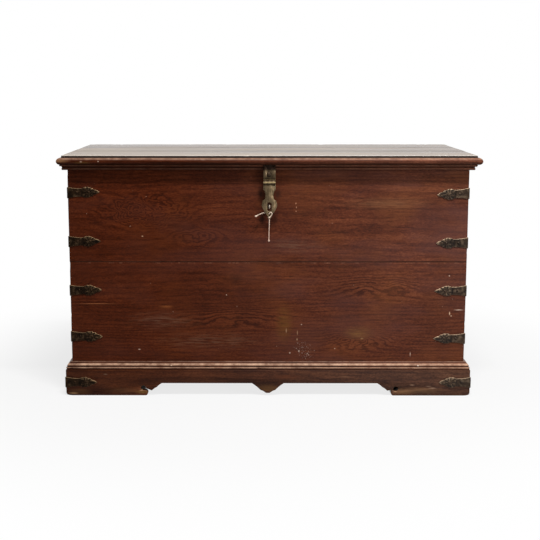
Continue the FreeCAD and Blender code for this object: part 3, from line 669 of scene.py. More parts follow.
def cotton(name):
    shader = Shader(name)
    soil = shader.noise(shader.place, 90.0, 4.0, 0.6)
    fibre = shader.noise(shader.scaled(shader.place, (1.0, 1.0, 0.25)), 2600.0, 3.0, 0.6)
    colour = shader.mix(shader.ramp(soil, 0.35, 0.7), rgb((216, 196, 178)), rgb((176, 150, 128)))
    lower = shader.ramp(shader.axis("Z"), *tail_level, 0.85, 0.0)
    colour = shader.tint(lower, colour, (184, 150, 130))
    return shader.finish(
        {"Base Color": colour, "Roughness": 0.9, "Sheen Weight": 0.3}, fibre, fibre_relief, 0.7,
    )


# Planks and blocks
edge_shares = (0.0, 0.28, 0.62, 1.0, 2.0)
plank_cell = 0.009
nick_sizes = (0.003, 0.011)
nick_depths = (0.0004, 0.0018)
# Rounding of the edges, unevenness of the faces, nicks, and how much the boards' sides are darkened
box_plank = (0.0011, 0.0004, 26, 0.0)
lid_plank = (0.0016, 0.0005, 20, 0.88)


def stations(low, high, rounding):
    """Places along one side of a block: close at the rounded ends, a cell apart between them."""
    near = [low + rounding * share for share in edge_shares]
    far = [high - rounding * share for share in reversed(edge_shares)]
    gap = far[0] - near[-1]
    count = max(1, round(gap / plank_cell))
    return near + [near[-1] + gap * step / count for step in range(1, count)] + far


def dent(gap, size, depth):
    """How deep a dent is at some distance from its middle."""
    return depth * (1 - (gap / size) ** 2) ** 2 if gap < size else 0.0


def worn_block(name, body, low, high, plank, seed):
    """A block with rounded, nicked edges and slightly uneven faces, as hand-planed wood has."""
    rounding, wave, nicks, side_darkening = plank
    luck = random.Random(seed)
    low, high = Vector(low), Vector(high)
    rounding = min(rounding, min(high - low) / 4.5)
    inset = Vector((rounding, rounding, rounding))
    inner_low, inner_high = low + inset, high - inset
    lines = [stations(low[i], high[i], rounding) for i in range(3)]
    ends = [len(line) - 1 for line in lines]
    shift = Vector((seed * 1.7, seed * 0.9, seed * 2.3))
    dents = []
    for _ in range(nicks):
        long = luck.choices(range(3), weights=[high[i] - low[i] for i in range(3)])[0]
        spot = Vector([luck.choice((low[i], high[i])) for i in range(3)])
        spot[long] = luck.uniform(low[long], high[long])
        dents.append((spot, luck.uniform(*nick_sizes), luck.uniform(*nick_depths)))

    numbers = {}
    vertices = []
    wear_and_highlight = []
    grime_and_shade = []

    def vertex(key):
        if key in numbers:
            return numbers[key]
        place = Vector([lines[i][key[i]] for i in range(3)])
        core = Vector([min(max(place[i], inner_low[i]), inner_high[i]) for i in range(3)])
        out = (place - core).normalized()
        moved = core + out * rounding
        uneven = noise.noise(place * 7.0 + shift) + 0.3 * noise.noise(place * 31.0 + shift)
        moved += out * (wave * uneven)
        edge = (1 - max(abs(part) for part in out)) / 0.293
        if side_darkening:
            upper = place.z > (low.z + high.z) / 2
            edge = min(1.0, 2 * edge) if upper else 0.2 * edge
        for spot, size, depth in dents:
            moved -= out * dent((place - spot).length, size, depth)
        numbers[key] = len(vertices)
        vertices.append(moved)
        wear_and_highlight.append(min(1.0, edge))
        # The boards' front, left and right faces are darkened by the plank's given amount.
        covered = abs(out.z) < 0.9 and out.y < 0.4
        grime_and_shade.append(side_darkening if covered else 0.0)
        return numbers[key]

    faces = []
    for axis in range(3):
        first, second = [i for i in range(3) if i != axis]
        for end in (0, ends[axis]):
            for i in range(ends[first]):
                for j in range(ends[second]):
                    corners = []
                    for di, dj in ((0, 0), (1, 0), (1, 1), (0, 1)):
                        key = [0, 0, 0]
                        key[axis], key[first], key[second] = end, i + di, j + dj
                        corners.append(vertex(tuple(key)))
                    faces.append(tuple(corners))
    return new_piece(name, body, vertices, faces, {"wear_and_highlight": wear_and_highlight, "grime_and_shade": grime_and_shade})


# Mouldings
moulding_cell = 0.007
moulding_wave = 0.00045
arc_steps = 9
dent_sizes = (0.004, 0.012)
dent_depths = (0.0004, 0.0016)
# Each outline runs from its start by moves, a move being an end point, or a middle and an end
# point for an arc, and then along its back. Points are shares of the moulding's width and height.
# Crests and hollows are a point, a reach and a strength. Crests are painted lighter, partly as worn wood and partly as
# painted highlight; hollows are painted darker, partly as dirt and partly as painted shade.
nose_shape = (
    (0, 0.84),
    (
        ((0.14, 0.80),), ((0.22, 0.960),), ((0.70, 0.845), (1, 0.550)),
        ((0.807, 0.165), (0.333, 0)),
    ),
    ((0, 0),),
    (((0.67, 0.84), 0.0056, 0.80), ((0.40, 0.93), 0.0030, 0.3)),
    (
        ((0, 0.84), 0.0048, 1.0), ((0.14, 0.80), 0.0042, 1.0),
        ((0.78, 0.10), 0.0060, 0.6), ((0.333, 0), 0.0080, 0.9),
    ),
)
dust_shape = (
    (0.88, 1.0),
    (
        ((1.0, 0.85), (0.88, 0.70)), ((0.67, 0.59), (0.63, 0.455)), ((0.695, 0.23), (0.63, 0)),
    ),
    ((0, 0), (0, 1)),
    (((1.0, 0.85), 0.0028, 0.22), ((0.695, 0.23), 0.0034, 0.18)),
    (((0.65, 0.55), 0.0038, 0.85), ((0.88, 1.0), 0.0028, 0.9), ((0.63, 0), 0.0026, 1.0)),
)
cap_shape = (
    (0, 1.0),
    (
        ((0.182, 1.0),), ((0.256, 0.925), (0.394, 0.851)), ((0.70, 0.720), (0.849, 0.468)),
        ((0.776, 0.468),), ((0.776, 0.383),), ((0.849, 0.383),),
        ((1.0, 0.255), (0.849, 0.128)), ((0.849, 0),),
    ),
    ((0, 0),),
    (
        ((0.182, 1.0), 0.0024, 0.8), ((0.72, 0.690), 0.0060, 1.6), ((0.985, 0.26), 0.0032, 1.4),
    ),
    (
        ((0.256, 0.90), 0.0030, 0.5), ((0.776, 0.468), 0.0020, 1.0), ((0.776, 0.383), 0.0020, 1.0),
        ((0.849, 0.08), 0.0020, 0.3), ((0, 1.0), 0.0030, 0.6),
    ),
)


def arc_points(start, middle, end):
    """Points along the circle arc through three points, without the first."""
    (ax, ay), (bx, by), (cx, cy) = start, middle, end
    a, b, c = (x * x + y * y for x, y in (start, middle, end))
    twice = 2 * (ax * (by - cy) + bx * (cy - ay) + cx * (ay - by))
    ux = (a * (by - cy) + b * (cy - ay) + c * (ay - by)) / twice
    uy = (a * (cx - bx) + b * (ax - cx) + c * (bx - ax)) / twice
    radius = math.hypot(ax - ux, ay - uy)
    first = math.atan2(ay - uy, ax - ux)
    whole = math.atan2(cy - uy, cx - ux) - first
    round_turn = 2 * math.pi
    whole = whole % round_turn if twice > 0 else -(-whole % round_turn)
    angles = [first + whole * step / arc_steps for step in range(1, arc_steps + 1)]
    return [(ux + radius * math.cos(angle), uy + radius * math.sin(angle)) for angle in angles]


def placed_shape(shape, out_low, out_high, base, top):
    """A moulding's shape with its shares turned into places out from the box and up."""
    def at(point):
        return (out_low + (out_high - out_low) * point[0], base + (top - base) * point[1])

    start, moves, back, crests, hollows = shape
    outline = [at(start)]
    for move in moves:
        if len(move) == 1:
            outline.append(at(move[0]))
        else:
            outline += arc_points(outline[-1], at(move[0]), at(move[1]))
    marks = [[(at(point), size, strength) for point, size, strength in spots] for spots in (crests, hollows)]
    return outline, [at(point) for point in back], *marks


def nearness(place, spots):
    """The strongest of some spots on a profile, each given as a place, a reach and a strength."""
    return max(
        [0.0] + [strength * max(0.0, 1 - math.dist(place, spot) / size) for spot, size, strength in spots]
    )


def swept_moulding(name, body, shape, side, room, seed, nicks):
    """One length of a moulding. Its outline and backing are (out, height) points. The front length
    is mitred at both ends and the side lengths at the front end."""
    outline, backing, crests, hollows = shape
    luck = random.Random(seed)
    middle, half, front, back = room
    ring = outline + backing
    count = len(ring)
    normals = []
    for index, here in enumerate(ring):
        before, after = ring[index - 1], ring[(index + 1) % count]
        first = math.atan2(here[1] - before[1], here[0] - before[0])
        second = math.atan2(after[1] - here[1], after[0] - here[0])
        lean = (first + second) / 2
        normals.append((-math.sin(lean), math.cos(lean)))
    length = 2 * half if side == "front" else back - front
    steps = max(2, round(length / moulding_cell))
    dents = [
        (
            luck.uniform(0, length), luck.randrange(len(outline)),
            luck.uniform(*dent_sizes), luck.uniform(*dent_depths),
        )
        for _ in range(nicks)
    ]
    sign = -1 if side == "left" else 1
    vertices = []
    wear_and_highlight = []
    grime_and_shade = []
    for step in range(steps + 1):
        share = step / steps
        travel = share * length
        for index, ((out, height), normal) in enumerate(zip(ring, normals)):
            push = 0.0
            if 0 < index < len(outline) - 1:
                spot = Vector((travel, out, height))
                push = moulding_wave * noise.noise(spot * 13.0 + Vector((seed, 0, 0)))
                for at, point, size, depth in dents:
                    push -= dent(math.dist((travel, out, height), (at, *ring[point])), size, depth)
            moved_out = out + normal[0] * push
            start = front - moved_out
            if side == "front":
                edge = half + moved_out
                across, deep = -edge + 2 * edge * share, start
            else:
                across, deep = sign * (half + moved_out), start + (back - start) * share
            vertices.append(Vector((middle + across, deep, height + normal[1] * push)))
            # Crests get painted highlight along with their worn look; hollows get painted shade along with their dirt.
            wear_and_highlight.append(nearness((out, height), crests))
            grime_and_shade.append(nearness((out, height), hollows))
    faces = ring_faces(0, steps + 1, count) + end_faces(0, steps + 1, count)
    return new_piece(name, body, vertices, faces, {"wear_and_highlight": wear_and_highlight, "grime_and_shade": grime_and_shade})


# Pieces cut from plate or board, softened along their edges
merge_gap = 1e-6
flat_limit = 0.6
sharp_limit = 32
cut_smooth_limit = 40


def sharp_edges(work):
    return [edge for edge in work.edges if edge.calc_face_angle(0) > math.radians(sharp_limit)]


def softened(name, node, width, roughen, seed, spacing):
    """A copy of a node's shape with its sharp edges rounded and unevenly worn."""
    work = bmesh.new()
    work.from_mesh(frame["nodes"][node].data)
    bmesh.ops.remove_doubles(work, verts=work.verts, dist=merge_gap)
    bmesh.ops.dissolve_limit(
        work, angle_limit=math.radians(flat_limit), verts=work.verts, edges=work.edges
    )
    for edge in sharp_edges(work):
        cuts = int(edge.calc_length() / spacing)
        if cuts > 0:
            bmesh.ops.subdivide_edges(work, edges=[edge], cuts=cuts)
    result = bmesh.ops.bevel(
        work, geom=sharp_edges(work), offset=width, offset_type="OFFSET", segments=2, profile=0.5,
        affect="EDGES", clamp_overlap=True,
    )
    rounded = set(result["faces"])
    layer = work.verts.layers.float.new("wear_and_highlight")
    for vertex in work.verts:
        if vertex.link_faces and all(face in rounded for face in vertex.link_faces):
            vertex[layer] = 1.0
            uneven = noise.noise(vertex.co * 60.0 + Vector((seed, 0, 0)))
            vertex.co -= vertex.normal * (roughen * max(0.0, 0.5 + uneven))
    smooth_by_angle(work, cut_smooth_limit)
    mesh = bpy.data.meshes.new(name)
    work.to_mesh(mesh)
    work.free()
    piece = add_object(name, mesh)
    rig.ride(piece, body_of_node(node))
    return piece


# Forged corner straps
strap_thickness = 0.0025
strap_foot_gap = 0.00004
strap_half = 0.01725
strap_neck_at = 0.044
strap_reaches = (0.097, 0.090)
strap_steps = 46
strap_bend_angles = (67.5, 45.0, 22.5)
# Half widths of the strap, from the corner to its neck
strap_waist = ((0.0, strap_half), (0.0242, 0.01335), (strap_neck_at, 0.01255))
strap_rim = 0.0017
strap_lump = 0.0003
strap_merge_gap = 1e-5
strap_cross = (-1.0, -0.985, -0.94, -0.85, -0.68, -0.45, -0.22, 0.0, 0.22, 0.45, 0.68, 0.85, 0.94, 0.985, 1.0)
leaf_half = 0.0155
leaf_stations = ((0.0, 0.81), (0.24, 1.0), (0.47, 0.84), (0.68, 0.50), (1.0, 0.0))
leaf_scallop = 0.0016
leaf_bead = 0.00035
leaf_start_before = 0.004
leaf_start_length = 0.008
fan_at = 0.0625
fan_hub = 0.005
fan_hub_edge = 0.003
fan_depth = 0.0011
leaf_roughness = 0.00045
lip_before = 0.002
lip_half = 0.0022
lip_depth = 0.0008
strap_row_shares = {"left": (0.859, 0.614, 0.366, 0.129), "right": (0.856, 0.608, 0.365, 0.119)}
strap_lift_shares = {"left": (0.075, 0.043, 0.038, -0.035), "right": (-0.13, -0.035, -0.04, -0.017)}
plinth_strap_share = 0.52


def through(points, at):
    """The height at a place on the curve through three points."""
    total = 0.0
    for here, height in points:
        for other, _ in points:
            if other != here:
                height *= (at - other) / (here - other)
        total += height
    return total


def strap_half_width(along, reach, jitter):
    if along <= strap_neck_at:
        return through(strap_waist, along)
    share = (along - strap_neck_at) / (reach - strap_neck_at)
    for (low, low_half), (high, high_half) in zip(leaf_stations, leaf_stations[1:]):
        if share <= high:
            part = (share - low) / (high - low)
            half = leaf_half * (low_half + (high_half - low_half) * part)
            half += leaf_scallop * math.sin(math.pi * part) * (0.85 + 0.3 * jitter)
            beads = leaf_bead * (abs(math.sin(along * 620.0 + 3.0 * jitter)) - 0.5)
            return half + beads * min(1.0, (1.0 - share) * 6)
    return 0.0


def strap_relief(along, rise, round_share, spot, jitter):
    """How far a strap's face stands up at a place, the cut of its fan there and its lip."""
    relief = strap_lump * noise.noise(spot * 95.0) * round_share
    gouge = 0.0
    leaf = max(0.0, min(1.0, (along - strap_neck_at + leaf_start_before) / leaf_start_length))
    if leaf > 0:
        ahead = along - fan_at
        fan = math.cos(9.0 * math.atan2(rise, ahead) + 4 * jitter)
        ring = max(0.0, min(1.0, (math.hypot(ahead, rise) - fan_hub) / fan_hub_edge))
        gouge = leaf * ring * round_share * max(0.0, fan) ** 0.7
        relief -= fan_depth * gouge
        relief += leaf_roughness * leaf * round_share * noise.noise(spot * 240.0)
    lip = math.exp(-((along - strap_neck_at + lip_before) / lip_half) ** 2) * round_share
    return relief - lip_depth * lip, gouge, lip, leaf


def forged_strap(vertices, faces, wear_and_highlight, grime_and_shade, lift, to_place, seed):
    """Add one strap, bent round a corner, to a mesh. Distances run from the corner."""
    jitter = random.Random(seed).random()
    shift = Vector((seed * 3.1, seed * 1.3, 0))
    front_reach, side_reach = strap_reaches
    shares = [step / strap_steps for step in range(strap_steps + 1)]
    # Each step has its leg (0 front, 1 side, 2 the bend), its place along it and its angle
    steps = [(1, side_reach * share, 0.0) for share in reversed(shares)]
    steps += [(2, 0.0, angle) for angle in strap_bend_angles]
    steps += [(0, front_reach * share, 0.0) for share in shares]
    count = len(strap_cross)
    layers = []
    for layer in (1, 0):
        layers.append(len(vertices))
        for leg, along, angle in steps:
            reach = side_reach if leg == 1 else front_reach
            half = strap_half_width(along, reach, jitter)
            centre = 0.0 if leg == 1 else lift * along / reach
            for across in strap_cross:
                height = centre + across * half
                round_share = min(1.0, (1 - abs(across)) * half / strap_rim)
                spot = Vector((along, height, leg * 0.4)) + shift
                relief, gouge, lip, leaf = strap_relief(along, height - centre, round_share, spot, jitter)
                dome = 0.25 + 0.75 * math.sqrt(1 - (1 - round_share) ** 2)
                thick = strap_thickness * dome + relief if layer else strap_foot_gap
                turn = math.radians(angle)
                if leg == 2:
                    flat = (-thick * math.sin(turn), -thick * math.cos(turn))
                else:
                    flat = (along, -thick) if leg == 0 else (-thick, along)
                vertices.append(to_place(*flat, height))
                # The upper rim and the upper side of the leaf's ridges are painted lighter than the lower ones: partly
                # worn iron, partly painted highlight from above.
                rim = max(0.0, 1.0 - round_share) * (0.75 if across > 0 else 0.20)
                tip = max(0.0, (along / reach - 0.90) / 0.10)
                knob = leaf * max(0.0, across) * max(0.0, 1.0 - abs(across - 0.75) / 0.4) * (1 - gouge)
                wear_and_highlight.append(min(1.0, rim + 0.8 * tip + 0.55 * knob + max(0.0, relief * 1500)))
                grime_and_shade.append(min(1.0, 0.75 * gouge + 0.5 * lip))
    top, bottom = layers
    rows = len(steps)
    for row in range(rows - 1):
        for column in range(count - 1):
            here = row * count + column
            faces.append((top + here, top + here + 1, top + here + count + 1, top + here + count))
            faces.append((bottom + here, bottom + here + count, bottom + here + count + 1, bottom + here + 1))
    for row in range(rows - 1):
        for column in (0, count - 1):
            here = row * count + column
            faces.append((top + here, top + here + count, bottom + here + count, bottom + here))
    for row in (0, rows - 1):
        for column in range(count - 1):
            here = row * count + column
            faces.append((top + here, bottom + here, bottom + here + 1, top + here + 1))


def strap_group(node, straps):
    """One node's straps: each entry gives its seed, corner, side, end, height and lift."""
    vertices = []
    faces = []
    wear_and_highlight = []
    grime_and_shade = []
    for seed, corner, side, end, height, lift in straps:
        across = 1 if side == "left" else -1
        inward = 1 if end == "front" else -1

        def to_place(x, y, z, corner=corner, across=across, inward=inward, height=height):
            return Vector((corner[0] + across * x, corner[1] + inward * y, height + z))

        forged_strap(vertices, faces, wear_and_highlight, grime_and_shade, lift, to_place, seed)
    piece = new_piece(node + "_forged", "box", vertices, faces, {"wear_and_highlight": wear_and_highlight, "grime_and_shade": grime_and_shade})
    with edited(piece.data) as work:
        bmesh.ops.remove_doubles(work, verts=work.verts, dist=strap_merge_gap)
        bmesh.ops.recalc_face_normals(work, faces=work.faces)
    stand_in(piece, node, "strap_iron", materials["strap"])


# Marks on the front of the box
front_face = -0.267
seam_height = 0.4196
seam_drop = 0.0036
seam_dirt = (0.0008, 0.0022)
seam_highlight = (0.0004, 0.0018)
front_painted_light = (-0.35, 0.42)
painted_light_rise = (0.10, 0.48)
foot_shade = (0.24, 0.44)
scratch_brown = (180, 130, 100)
hasp_shadow_and_dirt = (20, 10, 8)
front_spots = (
    (-0.400, 0.1430, 0.0055, 0.0022, (190, 160, 140), 1.0),
    (-0.530, 0.2878, 0.0850, 0.0015, (150, 92, 56), 0.8),
    (0.443, 0.1280, 0.0020, 0.0100, (190, 158, 138), 0.9),
    (0.590, 0.2690, 0.0200, 0.0016, (214, 188, 168), 1.0),
    (0.562, 0.2580, 0.0026, 0.0080, (206, 170, 140), 1.0),
    (0.567, 0.2500, 0.0030, 0.0030, (206, 170, 140), 0.9),
    (0.558, 0.3760, 0.0030, 0.0028, (200, 170, 150), 0.9),
    (0.0845, 0.6000, 0.0022, 0.0040, scratch_brown, 0.8),
    (0.0860, 0.5880, 0.0018, 0.0045, scratch_brown, 0.8),
    (0.0850, 0.5760, 0.0025, 0.0025, scratch_brown, 0.8),
    (-0.385, 0.4990, 0.0035, 0.0025, (200, 160, 124), 0.8),
    (-0.128, 0.3160, 0.0024, 0.0024, (190, 160, 140), 0.9),
    (0.0570, 0.2030, 0.0028, 0.0110, (156, 122, 92), 0.7),
    (0.0916, 0.1960, 0.0024, 0.0110, (156, 122, 92), 0.7),
    (0.0905, 0.1750, 0.0028, 0.0060, (170, 136, 104), 0.8),
    (0.0683, 0.1320, 0.0034, 0.0034, (206, 184, 164), 0.75),
    (0.0965, 0.1374, 0.0034, 0.0034, (206, 184, 164), 0.75),
    (0.2080, 0.1460, 0.0026, 0.0026, (196, 168, 144), 0.7),
    (0.2920, 0.1780, 0.0070, 0.0036, (156, 122, 80), 0.55),
    (0.1040, 0.2224, 0.0030, 0.0026, (190, 166, 148), 0.8),
    # Painted shadows of the hasp on the boards, mixed with dirt where it rubs.
    (-0.023, 0.6300, 0.0160, 0.0260, hasp_shadow_and_dirt, 0.75),
    (0.029, 0.6280, 0.0170, 0.0240, (30, 17, 15), 0.65),
    (-0.019, 0.5520, 0.0150, 0.0260, hasp_shadow_and_dirt, 0.70),
    (0.022, 0.5600, 0.0120, 0.0300, (26, 13, 10), 0.45),
)
# Stains that follow the grain
front_stains = (
    (-0.316, 0.2790, 0.0300, 0.0070, (128, 72, 36), 0.9),
    (-0.099, 0.3660, 0.0300, 0.0260, (44, 24, 18), 0.6),
    (0.050, 0.2250, 0.0360, 0.0800, (96, 64, 28), 0.7),
    (0.280, 0.1950, 0.0600, 0.0300, (112, 78, 44), 0.7),
    (-0.200, 0.5200, 0.2000, 0.0700, (60, 30, 24), 0.5),
    (0.360, 0.6000, 0.1800, 0.0260, (120, 82, 56), 0.5),
)
# Patches of small pale flecks, and duller, greyer ones
pale_fleck = (214, 196, 180)
fleck_patches = (
    (0.120, 0.133, 0.034, 0.036, pale_fleck, 1.0),
    (0.106, 0.152, 0.034, 0.020, pale_fleck, 1.0),
)
dull_grey = (96, 70, 54)
dull_patches = (
    (-0.330, 0.2350, 0.1500, 0.0400, dull_grey, 1.0),
    (-0.180, 0.1700, 0.2200, 0.0360, dull_grey, 1.0),
    (0.080, 0.4700, 0.1200, 0.0300, dull_grey, 1.0),
)


def front_marks(shader, colour, roughness, streaks):
    """Painted light and sheen that make the wood lighter and greyer towards the right and the top, old specks and
    scratches, stains, painted shadows of the hasp mixed with dirt, darker wood towards the foot, a dirty seam between
    the boards and a painted highlight along the lower board's top edge.
    """
    place = shader.place
    height = shader.axis("Z")
    broken = shader.ramp(streaks, 0.38, 0.60, 0.25, 1.0)
    orange = shader.ramp(shader.noise(place, 5.0, 3.0, 0.5), 0.48, 0.66, 0.0, 0.5)
    colour = shader.tint(shader.times(orange, broken), colour, (84, 38, 12))
    haze = shader.noise(shader.scaled(place, (0.4, 1.0, 1.0)), 9.0, 3.0, 0.5)
    colour = shader.tint(shader.ramp(haze, 0.48, 0.64, 0.0, 0.35), colour, (66, 33, 24))
    # Painted light and sheen: lighter and greyer towards the right and the top.
    lit_rightward = shader.ramp(shader.axis("X"), *front_painted_light)
    share = shader.times(lit_rightward, shader.ramp(height, *painted_light_rise, 0.72, 1.0))
    colour = shader.painted_light_tint(share, colour, (1.66, 2.35, 3.30), (0.002, 0.004, 0.006))
    fleck = shader.ramp(shader.noise(place, 210.0, 3.0, 0.7), 0.60, 0.67)
    colour = shader.painted(colour, fleck_patches, front_face, fleck)
    dull = shader.ramp(streaks, 0.46, 0.60, 0.0, 0.55)
    colour = shader.painted(colour, dull_patches, front_face, dull)
    colour = shader.painted(colour, front_stains, front_face, broken)
    sparse = shader.ramp(shader.noise(place, 120.0, 1.0, 0.5), 0.79, 0.81, 0.0, 0.5)
    colour = shader.tint(sparse, colour, (186, 150, 128))
    colour = shader.painted(colour, front_spots, front_face)
    colour = shader.tint(shader.ramp(height, *foot_shade, 0.13, 0.0), colour, (40, 18, 8))
    seam = shader.ramp(shader.off(height, seam_height), *seam_dirt, 0.85, 0.0)
    colour = shader.tint(seam, colour, (20, 8, 4))
    # A painted highlight along the lower board's top edge, just under the seam.
    line = shader.ramp(shader.off(height, seam_height - seam_drop), *seam_highlight, 1.0, 0.0)
    dashes = shader.noise(shader.scaled(place, (1.0, 1.0, 0.0)), 46.0, 4.0, 0.7)
    line = shader.times(line, shader.ramp(dashes, 0.52, 0.70, 0.0, 0.45))
    return shader.tint(line, colour, (160, 112, 88)), roughness


# Marks on the plinth and the mouldings
plinth_face = -0.285
plinth_painted_light = (-0.42, 0.35)
moulding_painted_light = (-0.30, 0.40)
moulding_mark_depth = 0.03
foot_wear_height = 0.0020
foot_wear_reach = 0.0130
foot_wear_rise = 0.0026
foot_wear_inset = 0.0018
plinth_spots = (
    (-0.390, 0.0110, 0.0300, 0.0080, (100, 74, 38), 0.80),
    (-0.394, 0.0160, 0.0080, 0.0024, (176, 140, 108), 0.80),
    (0.396, 0.0125, 0.0090, 0.0030, (176, 140, 108), 0.80),
    (0.420, 0.0090, 0.0500, 0.0100, (116, 82, 52), 0.60),
    (-0.004, 0.0220, 0.0500, 0.0200, (108, 76, 44), 0.75),
    (-0.585, 0.0120, 0.0500, 0.0160, (96, 64, 36), 0.70),
    (-0.606, 0.0070, 0.0200, 0.0050, (170, 132, 92), 0.80),
    (-0.450, 0.0160, 0.0900, 0.0160, (86, 56, 34), 0.55),
    (0.460, 0.0160, 0.1100, 0.0160, (108, 80, 54), 0.60),
    (0.449, 0.0340, 0.0110, 0.0030, (150, 120, 98), 0.80),
    (0.512, 0.0240, 0.0160, 0.0028, (150, 124, 104), 0.70),
    (0.500, 0.0300, 0.0120, 0.0020, (150, 124, 104), 0.60),
    (-0.505, 0.0680, 0.0100, 0.0020, (150, 120, 98), 0.70),
    (0.240, 0.0600, 0.0260, 0.0030, (120, 88, 66), 0.50),
    (0.060, 0.0600, 0.0600, 0.0120, (90, 48, 28), 0.50),
)
moulding_spots = (
    (-0.632, 0.7310, 0.0500, 0.0080, (160, 120, 84), 0.60),
    (-0.563, 0.7290, 0.0060, 0.0030, (200, 170, 150), 0.85),
    (-0.511, 0.7300, 0.0035, 0.0030, (210, 184, 164), 0.90),
    (-0.560, 0.7260, 0.0400, 0.0060, (120, 88, 40), 0.45),
    (-0.300, 0.0950, 0.0040, 0.0030, (220, 190, 160), 0.70),
    (0.466, 0.0950, 0.0036, 0.0030, (236, 222, 206), 0.95),
)


def plinth_marks(shader, colour, roughness, streaks):
    """Painted light that makes the plinth lighter and greyer towards the right, and worn olive-brown patches on the
    feet and the drop, with a few scratches.
    """
    lit_rightward = shader.ramp(shader.axis("X"), *plinth_painted_light)
    colour = shader.painted_light_tint(lit_rightward, colour, (0.95, 1.48, 2.30), (0.003, 0.004, 0.005))
    broken = shader.ramp(streaks, 0.35, 0.6, 0.4, 1.0)
    return shader.painted(colour, plinth_spots, plinth_face, broken), roughness


def moulding_marks(shader, colour, roughness, streaks):
    """Nicks on the lid's nose and the plinth's moulding, and painted light and sheen that make them lighter and greyer
    towards the right.
    """
    lit_rightward = shader.ramp(shader.axis("X"), *moulding_painted_light)
    colour = shader.painted_light_tint(lit_rightward, colour, (1.95, 2.85, 4.30), (0.009, 0.007, 0.007))
    return shader.painted(colour, moulding_spots, plinth_face, deep=moulding_mark_depth), roughness


# Dust and painted sheen on the lid
lid_joints = (-0.0770, 0.1180)
lid_joint_dirt = (0.006, 0.046)
lid_top_edge = (0.7440, 0.7456)
lid_rim = (-0.284, -0.258)
lid_far = (0.05, 0.28)


def lid_dust_and_sheen(shader, colour, roughness, streaks):
    """A pale film on the top, partly dust and partly painted sheen, a rubbed front rim, dirty joints and a bare, rough
    underside.
    """
    depth = shader.axis("Y")
    upper = shader.ramp(shader.axis("Z"), *lid_top_edge)
    fine = shader.noise(shader.scaled(shader.place, (0.12, 1.0, 1.0)), 18.0, 5.0, 0.65)
    fine_film = shader.ramp(fine, 0.40, 0.62)
    wide = shader.noise(shader.scaled(shader.place, (0.10, 1.0, 1.0)), 8.0, 2.0, 0.5)
    wide_film = shader.ramp(wide, 0.38, 0.62)
    film = shader.plus(shader.times(fine_film, 0.45), shader.times(wide_film, 0.45))
    film = shader.times(film, shader.ramp(depth, *lid_far, 1.0, 0.55))
    # The pale film on the top is partly dust and partly painted sheen.
    colour = shader.tint(shader.times(film, upper), colour, (150, 138, 124))
    rim = shader.times(shader.ramp(depth, *lid_rim, 0.85, 0.0), upper)
    colour = shader.tint(rim, colour, (214, 200, 184))
    for joint in lid_joints:
        dirt = shader.ramp(shader.off(depth, joint), *lid_joint_dirt, 0.8, 0.0)
        dirt = shader.times(dirt, shader.ramp(fine_film, 0.0, 1.0, 1.0, 0.5))
        colour = shader.tint(dirt, colour, (46, 32, 24))
    polished = shader.ramp(film, 0.1, 0.9, 0.24, 0.50)
    bare = shader.times(shader.minus(1.0, upper), 0.45)
    return colour, shader.plus(polished, bare)


# Materials of this chest
worn_brown = (128, 84, 58)
# The peach of worn moulding crests also stands for their painted highlight.
peach_wear_and_highlight = (182, 147, 122)
worn_tan = (150, 112, 80)
worn_pale = (206, 190, 174)
inner_tones = ((84, 58, 38), (116, 86, 60), (142, 110, 80))
# Places on the line that a board's rings lie round, and how deep iron is hammered or filed
piths = {
    "box": (0, -0.12, 0.52), "side": (-0.48, 0, 0.45), "lid": (0, 0.10, 0.60),
    "rail_x": (0, -0.20, 0.90), "rail_y": (0.1, 0, 0.90), "plinth_x": (0, -0.18, 0.02),
    "plinth_y": (0.5, 0, 0.02), "inner_x": (0, 0.05, 0.30), "inner_y": (0.05, 0, 0.30),
}
lumps = {"strap": 0.0006, "rivet": 0.0003, "hasp": 0.00008, "hinge": 0.0004, "eye": 0.0002}
